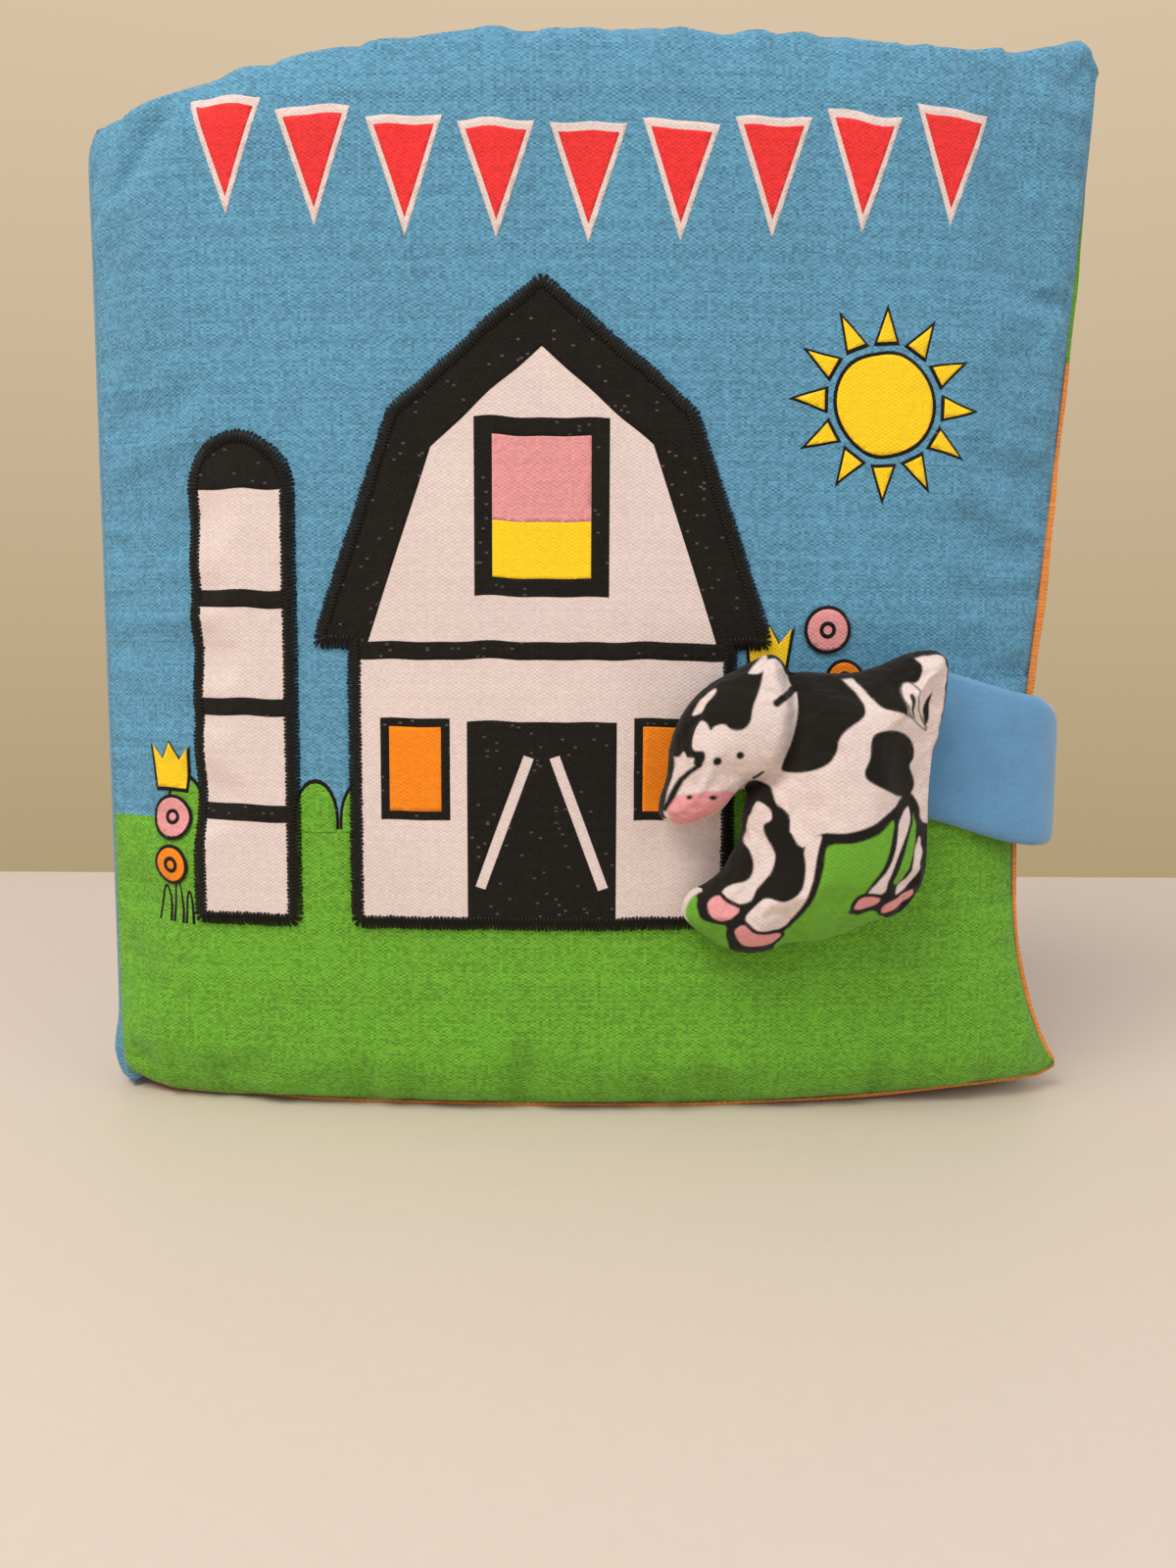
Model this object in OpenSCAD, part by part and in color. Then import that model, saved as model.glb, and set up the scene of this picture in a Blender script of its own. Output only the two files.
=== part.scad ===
// Padded cloth book for a small child, closed, standing on its lower edge.
// +X points to the fore-edge, -Y out of the front cover, +Z up. The origin
// lies on the table under the middle of the page block. Millimetres.

/* [Book] */
// Width of the closed book, spine to fore-edge corners
book_w = 236; // [210:1:250]
// Height of the closed book at its fore-edge corners
book_h = 248; // [230:1:265]
// Radius of the bow of each cover, as a share of the book's width
bow_share = 2.44; // [2.4:0.02:3.2]
// Outer radius of the rounded spine
spine_r = 21; // [20:0.5:23]
// Where the covers are creased, as an angle round the spine
crease_angle = 56; // [45:1:65]
// How far the strap draws the fore-edge in
fore_edge_pull = 13.5; // [0:0.5:15]
// How far the top edge sinks towards the spine
spine_droop = 18; // [0:1:20]
// How far the top corner at the fore-edge stands above the middle of the top edge
corner_flare = 4.5; // [0:0.5:6]
// How far the foot lifts off the table at the fore-edge corners
foot_rise = 4; // [0:0.5:5]
// Corner radius of the covers
corner_r = 6; // [3:0.5:9]

/* [Covers] */
// Thickness of a stuffed cover
cover_t = 10; // [8:0.5:11]
// Thickness of a cover at its sewn edge
cover_edge_t = 2.6; // [2:0.2:4]
// Distance over which the stuffing swells behind the edge seam
edge_roll = 15; // [10:1:20]
// Share of the cover's thickness that lies behind its edge seam
seam_share = 0.3; // [0.25:0.05:0.5]
// Thickness of a cover at its crease
crease_t = 2.5; // [2:0.5:4]
// Thickness of the lining cloth inside the front cover
lining_t = 0.8; // [0.6:0.1:1.2]

/* [Pages] */
// Number of stuffed leaves, the middle one over the origin
leaf_count = 5; // [3:2:5]
// Thickness of one leaf in the middle of the page
leaf_t = 7; // [6:0.5:8]
// Thickness of one leaf where it is sewn into the spine
leaf_sewn_t = 1.8; // [1.4:0.2:2.2]
// Depth of the grooves between the leaf edges
leaf_groove = 5; // [3:0.5:7]
// How far the pages stay back from the cover edges
page_inset = 3; // [2:0.5:6]

/* [Strap] */
// Width of the closing strap
strap_w = 35; // [28:1:42]
// Thickness of the closing strap
strap_t = 2; // [1.5:0.1:2.5]
// Height of the middle of the strap above the table
strap_z = 81; // [70:1:95]
// Length of strap that lies on the front cover, up to its bend
strap_front_l = 62; // [55:1:75]
// Inside radius of the bend round the fore-edge
strap_bend_r = 8; // [6:0.5:10]
// Length of the strap's free tail behind the bend
strap_tail = 15; // [11:1:16]
// Gap between the strap's tail and the fore-edge
strap_slack = 7; // [6:0.5:8]
// Thickness of the hook patch
hook_t = 1.2; // [1:0.1:1.5]
// Thickness of the loop tab on the back cover
tab_t = 1.6; // [1.2:0.1:2]
// Length of tab sewn to the back cover
tab_sewn_l = 24; // [16:1:30]

/* [Toy] */
// Width of the stuffed calf
toy_w = 62.4; // [58:0.2:68]
// How far the calf's front swells out of its seam
toy_front_t = 14; // [10:0.5:16]
// How far the calf's back swells out of its seam
toy_back_t = 5; // [4:0.5:7]
// The calf's neck, from the fore-edge corners
toy_from_edge = 77.5; // [74:0.5:82]
// Height of the calf's neck above the table
toy_z = 81; // [76:1:86]

/* [Picture] */
// Thickness of the sewn-on picture cloth
applique_t = 0.8; // [0.6:0.1:1]
// Thickness of a field of print
print_t = 0.25; // [0.2:0.05:0.3]
// Width of the zigzag stitching round the picture cloth
stitch_w = 3; // [2:0.2:4]
// Height of the zigzag stitching
stitch_t = 1.4; // [1.2:0.1:1.6]
// Height of the printed meadow
meadow_z = 69; // [60:1:75]
// Height of the grass blades above the meadow
blade_h = 9; // [6:0.5:12]
// Pitch of the grass blades
blade_pitch = 11; // [9:0.5:14]
// Middle of the barn, from the middle of the cover
barn_x = -10; // [-11:0.5:-8]
// Height of the barn's and the silo's foot above the table
barn_foot_z = 46; // [40:1:52]
// Width of the barn's wall
barn_wall_w = 84; // [74:1:86]
// Height of the barn's wall
barn_wall_h = 64; // [56:1:68]
// Overhang of the barn's eaves
eave_overhang = 8; // [6:0.5:10]
// Rise of the lower roof slope
knee_rise = 50; // [42:1:52]
// Rise of the upper roof slope
apex_rise = 28; // [20:1:30]
// Width of the roof band
roof_band = 11; // [8:0.5:13]
// Width of the silo
silo_w = 22; // [18:1:23]
// Height of the silo's straight wall
silo_h = 98; // [84:1:104]
// Gap between the stitching of the silo and of the barn's eave
silo_gap = 1.5; // [1:0.5:3]
// Radius of the sun's disc
sun_r = 11; // [9:0.5:13]
// Radius of a printed flower
flower_r = 5; // [4:0.2:5.2]
// Height of the lowest flower on the right above the meadow's edge
upper_flowers = 33; // [30:1:36]
// Depth of the lowest flower on the left below the meadow's edge
lower_flowers = 12; // [10:1:14]
// Number of bunting flags
flag_count = 9; // [7:1:10]
// Length of one bunting flag
flag_l = 25; // [18:0.5:28]

/* [Hidden] */

// Running clearance between neighbouring pieces of cloth
gap = 0.3;
// Fineness of the bow of the covers
arc_fn = 480;

// Outline of the closed book, seen from above
book_t = leaf_count * leaf_t + 2 * (cover_t + lining_t + gap);
spine_x = spine_r - book_w / 2;
bow_r = book_w * bow_share;
bow_y = bow_r - book_t / 2;
bow_x = spine_x + sqrt(pow(bow_r - spine_r, 2) - pow(bow_y, 2));
join_angle = asin((bow_x - spine_x) / (bow_r - spine_r));
crease_x = spine_x - spine_r * sin(crease_angle);
crease_y = spine_r * cos(crease_angle);
crease_gap_angle = gap / spine_r * 90 / PI;

// A point of the front cover's outer face, by the turn of its normal from -Y towards the spine
function outer_point(turn) = turn < join_angle
    ? [bow_x - bow_r * sin(turn), bow_y - bow_r * cos(turn)]
    : [spine_x - spine_r * sin(turn), -spine_r * cos(turn)];
function outward(turn) = [-sin(turn), -cos(turn)];
function bow_turn(x) = asin((bow_x - x) / bow_r);

// The fore-edge is drawn in at the strap, the top edge sinks towards the spine, and the foot lifts
// towards the fore-edge
pull_below = 3.6;
pull_above = 0.85;
function edge_pull(z) = fore_edge_pull * (1 - (z < strap_z ? pow(1 - z / strap_z, pull_below)
    : pow(min(1, (z - strap_z) / (book_h - strap_z)), pull_above)));
function fore_edge_x(z) = book_w / 2 - edge_pull(z);
droop_l = book_w * 0.45;
flare_l = book_w * 0.3;
function top_z(x) = book_h - spine_droop * pow(1 - min(1, (x + book_w / 2) / droop_l), 2)
    - corner_flare * (1 - pow(max(0, 1 - (book_w / 2 - x) / flare_l), 2));
foot_l = book_w * 0.085;
function foot_z(x) = foot_rise * pow(max(0, (x - foot_l) / (book_w / 2 - foot_l)), 2);
function corner_cut(d) = d < corner_r ? corner_r - sqrt(corner_r * corner_r - pow(corner_r - d, 2)) : 0;

// Stuffing: 0 at the edge seam, 1 where the piece has its full thickness
function swell(d, roll) = d >= roll ? 1 : sqrt(1 - pow(1 - max(0, d) / roll, 2));
edge_steps = edge_roll * [0, 0.04, 0.13, 0.27, 0.46, 0.7, 1];
edge_count = len(edge_steps);
function rows(low, high) = concat([for (d = edge_steps) low + d],
    [low + edge_roll + (meadow_z - edge_roll - low) * 0.4, meadow_z],
    [for (i = [1 : edge_count]) high - edge_steps[edge_count - i]]);
meadow_row = edge_count + 1;

// Faces of a sheet whose outer and inner grids have m columns of n points, each four-sided patch
// split along the same diagonal in all sheets that lie on one another
function halves(q, flip) = flip ? [[q[2], q[1], q[0]], [q[3], q[2], q[0]]]
    : [[q[0], q[1], q[2]], [q[0], q[2], q[3]]];
function grid_faces(m, n, first, flip) = [for (i = [0 : m - 2], j = [0 : n - 2])
    let (a = first + i * n + j) each halves([a, a + 1, a + n + 1, a + n], flip)];
function rim(m, n) = concat([for (j = [0 : n - 1]) j], [for (i = [1 : m - 1]) i * n + n - 1],
    [for (j = [2 : n]) (m - 1) * n + n - j], [for (i = [2 : m - 1]) (m - i) * n]);
function sheet_faces(m, n) = let (edge = rim(m, n), count = len(edge), inner = m * n)
    concat(grid_faces(m, n, 0, false), grid_faces(m, n, inner, true),
        [for (k = [0 : count - 1]) let (a = edge[k], b = edge[(k + 1) % count])
            each halves([b, a, a + inner, b + inner], false)]);
function flat_list(grid) = [for (column = grid, p = column) p];
module sheet(outer, inner) {
    polyhedron(concat(flat_list(outer), flat_list(inner)), sheet_faces(len(outer), len(outer[0])), 4);
}

// Columns of a cover, from its fore-edge to its crease: how far each lies from the fore-edge, as a
// distance near the seam and as a share of the way to the spine beyond it, then as a turn of the spine
bow_shares = [0.12, 0.25, 0.38, 0.5, 0.62, 0.74, 0.86, 1];
spine_shares = [0.15, 0.32, 0.5, 0.68, 0.84, 1];
crease_turn = crease_angle - crease_gap_angle;
function roll_end(z) = bow_turn(fore_edge_x(z)) + edge_roll / bow_r * 180 / PI;
function column_turn(i, z) =
    i < edge_count ? bow_turn(fore_edge_x(z)) + edge_steps[i] / bow_r * 180 / PI
    : i < edge_count + len(bow_shares)
        ? roll_end(z) + (join_angle - roll_end(z)) * bow_shares[i - edge_count]
        : join_angle + (crease_turn - join_angle) * spine_shares[i - edge_count - len(bow_shares)];
column_count = edge_count + len(bow_shares) + len(spine_shares);
function fore_distance(i) = i < edge_count ? edge_steps[i] : edge_roll;
function crease_distance(turn) = turn < join_angle ? edge_roll : (crease_turn - turn) * PI / 180 * spine_r;

// Depth of the outer and the inner face under the full outline, at one place of a stuffed cover
front_roll = cover_t * (1 - seam_share) - cover_edge_t / 2;
back_roll = cover_t * seam_share - cover_edge_t / 2;
function cover_swell(i, z, low, high) = swell(fore_distance(i), edge_roll)
    * swell(z - low, edge_roll) * swell(high - z, edge_roll);
function outer_depth(k) = (1 - k) * front_roll;
function inner_depth(k, turn) = let (full = cover_t - (1 - k) * back_roll, thin = crease_t + outer_depth(k))
    thin + (full - thin) * swell(crease_distance(turn), edge_roll * 0.6);

// Grid of points at a depth of the front cover: face 0 is its outer face and 1 its inner face
function cover_column(i, face, extra) =
    let (rough = outer_point(column_turn(i, book_h / 2)),
        low = foot_z(rough[0]) + corner_cut(fore_distance(i)),
        high = top_z(rough[0]) - corner_cut(fore_distance(i)))
    [for (z = rows(low, high))
        let (turn = column_turn(i, z), p = outer_point(turn), n = outward(turn),
            k = cover_swell(i, z, low, high),
            depth = (face == 0 ? outer_depth(k) : inner_depth(k, turn)) + extra)
        [p[0] - n[0] * depth, p[1] - n[1] * depth, z]];
function cover_grid(face, extra = 0) = [for (i = [0 : column_count - 1]) cover_column(i, face, extra)];

module cover_panel() {
    sheet(cover_grid(0), cover_grid(1));
}

module front_cover() {
    color("#4f9fce") cover_panel();
}

// The lining lies on the inner face and shows along the edge seam
module front_lining() {
    color("#f28a35") sheet(cover_grid(1), cover_grid(1, lining_t));
}

module back_cover() {
    color("#4f9fce") mirror([0, 1, 0]) cover_panel();
}

// Stuffed strip between the two creases
spine_columns = 13;
function spine_column(i, face) =
    let (turn = crease_angle + crease_gap_angle
            + (180 - 2 * (crease_angle + crease_gap_angle)) * i / (spine_columns - 1),
        p = outer_point(turn), n = outward(turn), high = top_z(p[0]),
        side = min(i, spine_columns - 1 - i) * (180 - 2 * crease_angle) / (spine_columns - 1)
            * PI / 180 * spine_r)
    [for (z = rows(0, high))
        let (k = swell(z, edge_roll) * swell(high - z, edge_roll),
            full = cover_t - (1 - k) * back_roll, thin = crease_t + outer_depth(k),
            depth = face == 0 ? outer_depth(k) : thin + (full - thin) * swell(side, edge_roll * 0.6))
        [p[0] - n[0] * depth, p[1] - n[1] * depth, z]];
module spine() {
    color("#4f9fce") sheet([for (i = [0 : spine_columns - 1]) spine_column(i, 0)],
        [for (i = [0 : spine_columns - 1]) spine_column(i, 1)]);
}

// Page block: one solid of stuffed leaves, with a groove between their edges on three sides
inside_t = cover_t + lining_t + gap;
sewn_half = leaf_count * leaf_sewn_t / 2;
page_spine_x = spine_x - sqrt(pow(spine_r - cover_t, 2) - pow(sewn_half, 2)) + gap;
function half_pages(x) = x > spine_x - (spine_r - inside_t) * sin(join_angle)
    ? sqrt(pow(bow_r - inside_t, 2) - pow(x - bow_x, 2)) - bow_y
    : max(sewn_half, sqrt(max(0, pow(spine_r - inside_t, 2) - pow(x - spine_x, 2))));
// One leaf edge, as [share of its thickness, share of the groove's depth]
leaf_nose = [[0, 1], [0.06, 0.5], [0.16, 0.18], [0.32, 0], [0.68, 0], [0.84, 0.18], [0.94, 0.5]];
page_levels = concat([for (leaf = [0 : leaf_count - 1], step = leaf_nose)
    [2 * (leaf + step[0]) / leaf_count - 1, step[1] * leaf_groove]], [[1, leaf_groove]]);
page_columns = [0, 0.03, 0.07, 0.12, 0.2, 0.3, 0.42, 0.54, 0.66, 0.78, 0.89, 1];
page_rows = [0, 0.03, 0.1, 0.2, 0.3, 0.42, 0.56, 0.7, 0.85, 1];
function page_point(u, v, level, inset) =
    let (z0 = v * book_h, fore = fore_edge_x(z0) - page_inset - inset,
        x = page_spine_x + (fore - page_spine_x) * u, high = top_z(x) - page_inset - inset,
        low = foot_z(x) + inset, z = low + (high - low) * v)
    [x, level * half_pages(x), z];
function page_face(step) = [for (u = page_columns) [for (v = page_rows) page_point(u, v, step[0], step[1])]];
function page_loop(step) = let (m = len(page_columns), n = len(page_rows), all = flat_list(page_face(step)))
    [for (k = rim(m, n)) all[k]];
module pages() {
    m = len(page_columns);
    n = len(page_rows);
    last = len(page_levels) - 1;
    edge = rim(m, n);
    count = len(edge);
    front = flat_list(page_face(page_levels[0]));
    back = flat_list(page_face(page_levels[last]));
    walls = [for (k = [1 : last - 1]) page_loop(page_levels[k])];
    function at(level, k) = level == 0 ? edge[k % count]
        : level == last ? m * n + edge[k % count]
        : 2 * m * n + (level - 1) * count + k % count;
    color("#f2e6d0") polyhedron(concat(front, back, flat_list(walls)),
        concat(grid_faces(m, n, 0, true), grid_faces(m, n, m * n, false),
            [for (level = [0 : last - 1], k = [0 : count - 1])
                each halves([at(level, k), at(level, k + 1), at(level + 1, k + 1), at(level + 1, k)],
                    false)]), 4);
}

// Points along an arc, and a band between two such runs of points
arc_steps = 14;
function arc(centre, r, from, to) = [for (i = [0 : arc_steps])
    let (a = from + (to - from) * i / arc_steps) centre + r * [cos(a), sin(a)]];
function turned(run) = [for (i = [1 : len(run)]) run[len(run) - i]];
module band(inside, outside, width) {
    translate([0, 0, -width / 2]) linear_extrude(width) polygon(concat(inside, turned(outside)));
}
// Where two circles meet, on the side to the right of the way from the first centre to the second
function circles_meet(c, r, d, s) =
    let (way = d - c, far = norm(way), along = (far * far + r * r - s * s) / (2 * far),
        aside = sqrt(r * r - along * along), unit = way / far)
    c + along * unit + aside * [unit[1], -unit[0]];
function direction(from, to) = atan2(to[1] - from[1], to[0] - from[0]);

// The strap lies on the front cover, bends round the fore-edge and ends in a tail that is drawn
// round the back crease, so that the tab on the back cover can slide out from under it
back_crease = [crease_x, crease_y];
bow_centre = [bow_x, bow_y];
strap_lift = print_t + gap;
tail_r = fore_edge_x(strap_z) - crease_x + strap_slack;
bend_centre = circles_meet(back_crease, tail_r - strap_bend_r, bow_centre, bow_r + strap_lift - strap_bend_r);
bend_from = direction(bow_centre, bend_centre);
bend_to = direction(back_crease, bend_centre);
strap_start = bend_from - strap_front_l / bow_r * 180 / PI;
tail_end = bend_to + strap_tail / tail_r * 180 / PI;
function strap_run(t) = concat(arc(bow_centre, bow_r + strap_lift + t, strap_start, bend_from - 0.02),
    arc(bend_centre, strap_bend_r + t, bend_from, bend_to),
    arc(back_crease, tail_r + t, bend_to + 0.02, tail_end));
module closing_strap() {
    color("#5b9ad6") translate([0, 0, strap_z]) band(strap_run(0), strap_run(strap_t), strap_w);
}

// The hook patch covers the inside of the tail, short of its end and its sides
hook_margin = 4;
function hook_run(t) = let (run = arc(back_crease, tail_r - t, bend_to + 0.02, tail_end))
    [for (i = [1 : arc_steps - 1]) run[i]];
module hook_patch() {
    color("#3f7fbf") translate([0, 0, strap_z])
        band(hook_run(hook_t), hook_run(0), strap_w - 2 * hook_margin);
}

// The tab is sewn to the outside of the back cover and lies under the strap's tail
tab_bend_r = 3;
tab_inner_r = tail_r - hook_t - gap - tab_t;
back_bow_centre = [bow_x, -bow_y];
tab_centre = circles_meet(back_bow_centre, bow_r + gap - tab_bend_r, back_crease, tab_inner_r - tab_bend_r);
tab_from = direction(back_bow_centre, tab_centre);
tab_to = direction(back_crease, tab_centre);
tab_start = tab_from + tab_sewn_l / bow_r * 180 / PI;
function tab_run(t) = concat(arc(back_bow_centre, bow_r + gap + t, tab_start, tab_from + 0.02),
    arc(tab_centre, tab_bend_r + t, tab_from, tab_to),
    arc(back_crease, tab_inner_r + t, tab_to - 0.02, bend_to));
module loop_tab() {
    color("#6ea9dd") translate([0, 0, strap_z]) band(tab_run(0), tab_run(tab_t), strap_w);
}

// Flat shapes, in X and Z, laid on the bow of the front cover between two heights
module on_bow(low, high) {
    intersection() {
        rotate([90, 0, 0]) linear_extrude(book_t) children();
        translate([bow_x, bow_y, 0]) difference() {
            cylinder(r = bow_r + high, h = book_h, $fn = arc_fn);
            translate([0, 0, -1]) cylinder(r = bow_r + low, h = book_h + 2, $fn = arc_fn);
        }
    }
}

// Printed meadow: the lower field of the front cover, under a row of pointed blades
meadow_left = bow_x - bow_r * sin(join_angle);
meadow_right = fore_edge_x(meadow_z) - edge_roll;
blade_gap = 0.8;
blade_w = blade_pitch - blade_gap;
blade_count = floor((meadow_right - meadow_left) / blade_pitch);
// Half width of a blade at a share of its height
function blade_half(share) = blade_w / 2 * sqrt(1 - share * share);
blade_shares = [0, 0.25, 0.5, 0.72, 0.88, 0.97];
module blade() {
    polygon(concat([for (h = blade_shares) [blade_half(h), blade_h * h]], [[0, blade_h]],
        [for (h = turned(blade_shares)) [-blade_half(h), blade_h * h]]));
}
// The print stops short of the crease, so that it stays clear of the spine when the cover opens
function lower_part(grid) = [for (i = [0 : column_count - 3]) [for (j = [0 : meadow_row]) grid[i][j]]];
module meadow_print() {
    color("#4da32f") sheet(lower_part(cover_grid(0, -print_t)), lower_part(cover_grid(0)));
}
module grass_print() {
    color("#4da32f") on_bow(0, print_t) for (i = [0 : blade_count - 1])
        translate([meadow_left + (i + 0.5) * blade_pitch, meadow_z]) blade();
}

// Barn and silo, sewn on as picture cloth
barn_eave_z = barn_foot_z + barn_wall_h;
barn_knee_z = barn_eave_z + knee_rise;
barn_apex_z = barn_knee_z + apex_rise;
barn_roof_w = barn_wall_w + 2 * eave_overhang;
barn_knee_w = barn_wall_w * 0.78;
function gable(inset) = [
    [-barn_roof_w / 2 + inset, barn_eave_z], [-barn_knee_w / 2 + inset * 0.75, barn_knee_z - inset * 0.65],
    [0, barn_apex_z - inset * 1.25], [barn_knee_w / 2 - inset * 0.75, barn_knee_z - inset * 0.65],
    [barn_roof_w / 2 - inset, barn_eave_z]];
barn_points = [for (p = concat([[barn_wall_w / 2, barn_foot_z], [-barn_wall_w / 2, barn_foot_z],
    [-barn_wall_w / 2, barn_eave_z]], gable(0), [[barn_wall_w / 2, barn_eave_z]])) p + [barn_x, 0]];
silo_x = barn_x - barn_roof_w / 2 - 2 * stitch_w - silo_gap - silo_w / 2;
silo_top_z = barn_foot_z + silo_h;
module barn_outline() {
    polygon(barn_points);
}
module silo_outline(grow = 0) {
    translate([silo_x - silo_w / 2 - grow, barn_foot_z - grow]) square([silo_w + 2 * grow, silo_h + grow]);
    translate([silo_x, silo_top_z]) circle(d = silo_w + 2 * grow, $fn = 64);
}
module barn_cloth() {
    color("#f1e9e6") on_bow(print_t, print_t + applique_t) barn_outline();
}
module silo_cloth() {
    color("#f1e9e6") on_bow(print_t, print_t + applique_t) silo_outline();
}

// Zigzag stitching runs along the outside of the picture cloth
function left_of(p, q) = let (way = (q - p) / norm(q - p)) [-way[1], way[0]];
function grown(points, width) = let (count = len(points)) [for (i = [0 : count - 1])
    let (m = left_of(points[(i + count - 1) % count], points[i]),
        n = left_of(points[i], points[(i + 1) % count]))
    points[i] + width * (m + n) / (1 + m * n)];
module barn_stitching() {
    color("#17161a") on_bow(print_t, stitch_t) difference() {
        polygon(grown(barn_points, stitch_w));
        barn_outline();
    }
}
module silo_stitching() {
    color("#17161a") on_bow(print_t, stitch_t) difference() {
        silo_outline(stitch_w);
        silo_outline();
    }
}

// Print on the picture cloth
module on_cloth() {
    on_bow(print_t + applique_t, 2 * print_t + applique_t) children();
}
door_w = barn_wall_w * 0.4;
door_h = barn_wall_h * 0.72;
door_frame = 4;
loft_w = barn_wall_w * 0.26;
loft_z = barn_eave_z + knee_rise * 0.28;
loft_h = knee_rise * 0.62;
window_w = barn_wall_w * 0.14;
window_x = barn_wall_w * 0.34;
window_z = barn_foot_z + barn_wall_h * 0.4;
window_h = barn_wall_h * 0.3;
beam = 4;
band_count = 4;
module frame(w, h, z, width) {
    translate([-w / 2, z]) difference() {
        square([w, h]);
        translate([width, width]) square([w - 2 * width, h - 2 * width]);
    }
}
module brace(side) {
    translate([side * door_w / 4, barn_foot_z + door_h / 2]) rotate(side * 20)
        square([door_frame * 0.6, door_h * 0.7], true);
}
module timber_print() {
    color("#1b1a1d") on_cloth() translate([barn_x, 0]) {
        polygon(concat(gable(0), turned(gable(roof_band))));
        translate([-barn_wall_w / 2, barn_eave_z - beam]) square([barn_wall_w, beam * 1.5]);
        difference() {
            translate([-door_w / 2, barn_foot_z]) square([door_w, door_h]);
            brace(-1);
            brace(1);
        }
        frame(loft_w + 2 * door_frame, loft_h + 2 * door_frame, loft_z - door_frame, door_frame);
        for (side = [-1, 1]) translate([side * window_x, 0])
            frame(window_w + door_frame, window_h + door_frame, window_z - door_frame / 2, door_frame / 2);
    }
}
module silo_print() {
    color("#1b1a1d") on_cloth() translate([silo_x, 0]) {
        intersection() {
            translate([0, silo_top_z]) circle(d = silo_w, $fn = 64);
            translate([-silo_w / 2, silo_top_z]) square([silo_w, silo_w / 2]);
        }
        for (i = [1 : band_count - 1])
            translate([-silo_w / 2, barn_foot_z + silo_h * i / band_count - beam / 2]) square([silo_w, beam]);
    }
}
module loft_door_print() {
    color("#e58aa0") on_cloth() translate([barn_x - loft_w / 2, loft_z + loft_h * 0.4])
        square([loft_w, loft_h * 0.6]);
}
module hay_print() {
    color("#f6cf2f") on_cloth() translate([barn_x - loft_w / 2, loft_z]) square([loft_w, loft_h * 0.4]);
}
module window_print() {
    color("#f0902e") on_cloth() for (side = [-1, 1])
        translate([barn_x + side * window_x - window_w / 2, window_z]) square([window_w, window_h]);
}

// Sun, flowers and bunting, printed on the cover cloth
sun_x = book_w * 0.28;
sun_z = book_h * 0.66;
ray_count = 12;
module sun_print() {
    color("#f6cf2f") on_bow(0, print_t) translate([sun_x, sun_z]) {
        circle(r = sun_r, $fn = 64);
        for (i = [0 : ray_count - 1]) rotate(360 * i / ray_count) translate([sun_r * 1.25, 0])
            polygon([[0, -sun_r * 0.2], [sun_r * 0.6, 0], [0, sun_r * 0.2]]);
    }
}
// Flowers, as places on the cover. Those that overlap the blades of grass lie on top of them
low_z = meadow_z - lower_flowers;
high_z = meadow_z + upper_flowers;
marigolds = [[-book_w * 0.414, low_z], [book_w * 0.25, high_z]];
daisies = [[-book_w * 0.416, low_z + 2.2 * flower_r], [book_w * 0.23, high_z + 2.2 * flower_r]];
tulips = [[-book_w * 0.418, low_z + 4.6 * flower_r], [book_w * 0.174, high_z + 1.2 * flower_r]];
function flower_lift(place) = place[1] < meadow_z + blade_h + 2 * flower_r ? print_t : 0;
tulip_points = [[-0.75, -1], [0.75, -1], [1, 1], [0.45, 0.35], [0, 1.15], [-0.45, 0.35], [-1, 1]];
module flower(place) {
    on_bow(flower_lift(place), flower_lift(place) + print_t) translate(place) children();
}
module daisy_print() {
    color("#e58aa0") for (place = daisies) flower(place) circle(r = flower_r, $fn = 40);
}
module marigold_print() {
    color("#f0902e") for (place = marigolds) flower(place) circle(r = flower_r * 0.85, $fn = 40);
}
module tulip_print() {
    color("#f6cf2f") for (place = tulips) flower(place) polygon(flower_r * tulip_points);
}
bunting_w = book_w * 0.76;
bunting_sag = 9;
bunting_z = book_h - 18;
edging = 1.8;
flag_pitch = bunting_w / flag_count;
function bunting_drop(x) = bunting_sag * (1 - pow(2 * x / bunting_w, 2));
module flag(i, grow) {
    x = (i + 0.5) * flag_pitch - bunting_w / 2;
    half = flag_pitch * 0.42;
    translate([x, bunting_z - bunting_drop(x)])
        polygon([[-half - grow, grow], [half + grow, grow], [0, -flag_l - 2.2 * grow]]);
}
module bunting_flags() {
    color("#e8303a") on_bow(0, print_t) for (i = [0 : flag_count - 1]) flag(i, -edging);
}
module bunting_edging() {
    color("#f1e9e6") on_bow(0, print_t) for (i = [0 : flag_count - 1]) difference() {
        flag(i, 0);
        flag(i, -edging);
    }
}

// Stuffed calf, standing and looking left. Its outline is a radius for each direction from its neck,
// as a share of half its width, with a smooth curve through these places
toy_outline = [[-90, 1.21], [-84, 1.19], [-70, 1.19], [-60, 1.21], [-50, 1.26], [-42, 1.31], [-35, 1.28],
    [-26, 1.19], [-19, 1.12], [-10, 1.11], [8, 1.12], [22.5, 1.26], [31, 1.42], [34.5, 1.45], [38, 1.37],
    [42, 1.19], [46, 1.03], [57, 0.82], [78, 0.68], [85, 0.72], [92, 0.8], [100.5, 0.77], [117, 0.75],
    [129.5, 0.73], [145.5, 0.71], [160, 0.72], [171.5, 0.7], [181.5, 0.71], [193, 0.79], [198, 0.82],
    [204.5, 0.78], [209, 0.71], [215, 0.5], [221, 0.32], [228, 0.38], [233, 0.65], [237, 0.98],
    [240.5, 1.18], [247, 1.23], [255, 1.25], [261, 1.25], [270, 1.21]];
toy_half = toy_w / 2;
toy_places = len(toy_outline) - 1;
function place(i) = i < 0 ? toy_outline[i + toy_places] - [360, 0]
    : i > toy_places ? toy_outline[i - toy_places] + [360, 0] : toy_outline[i];
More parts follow.
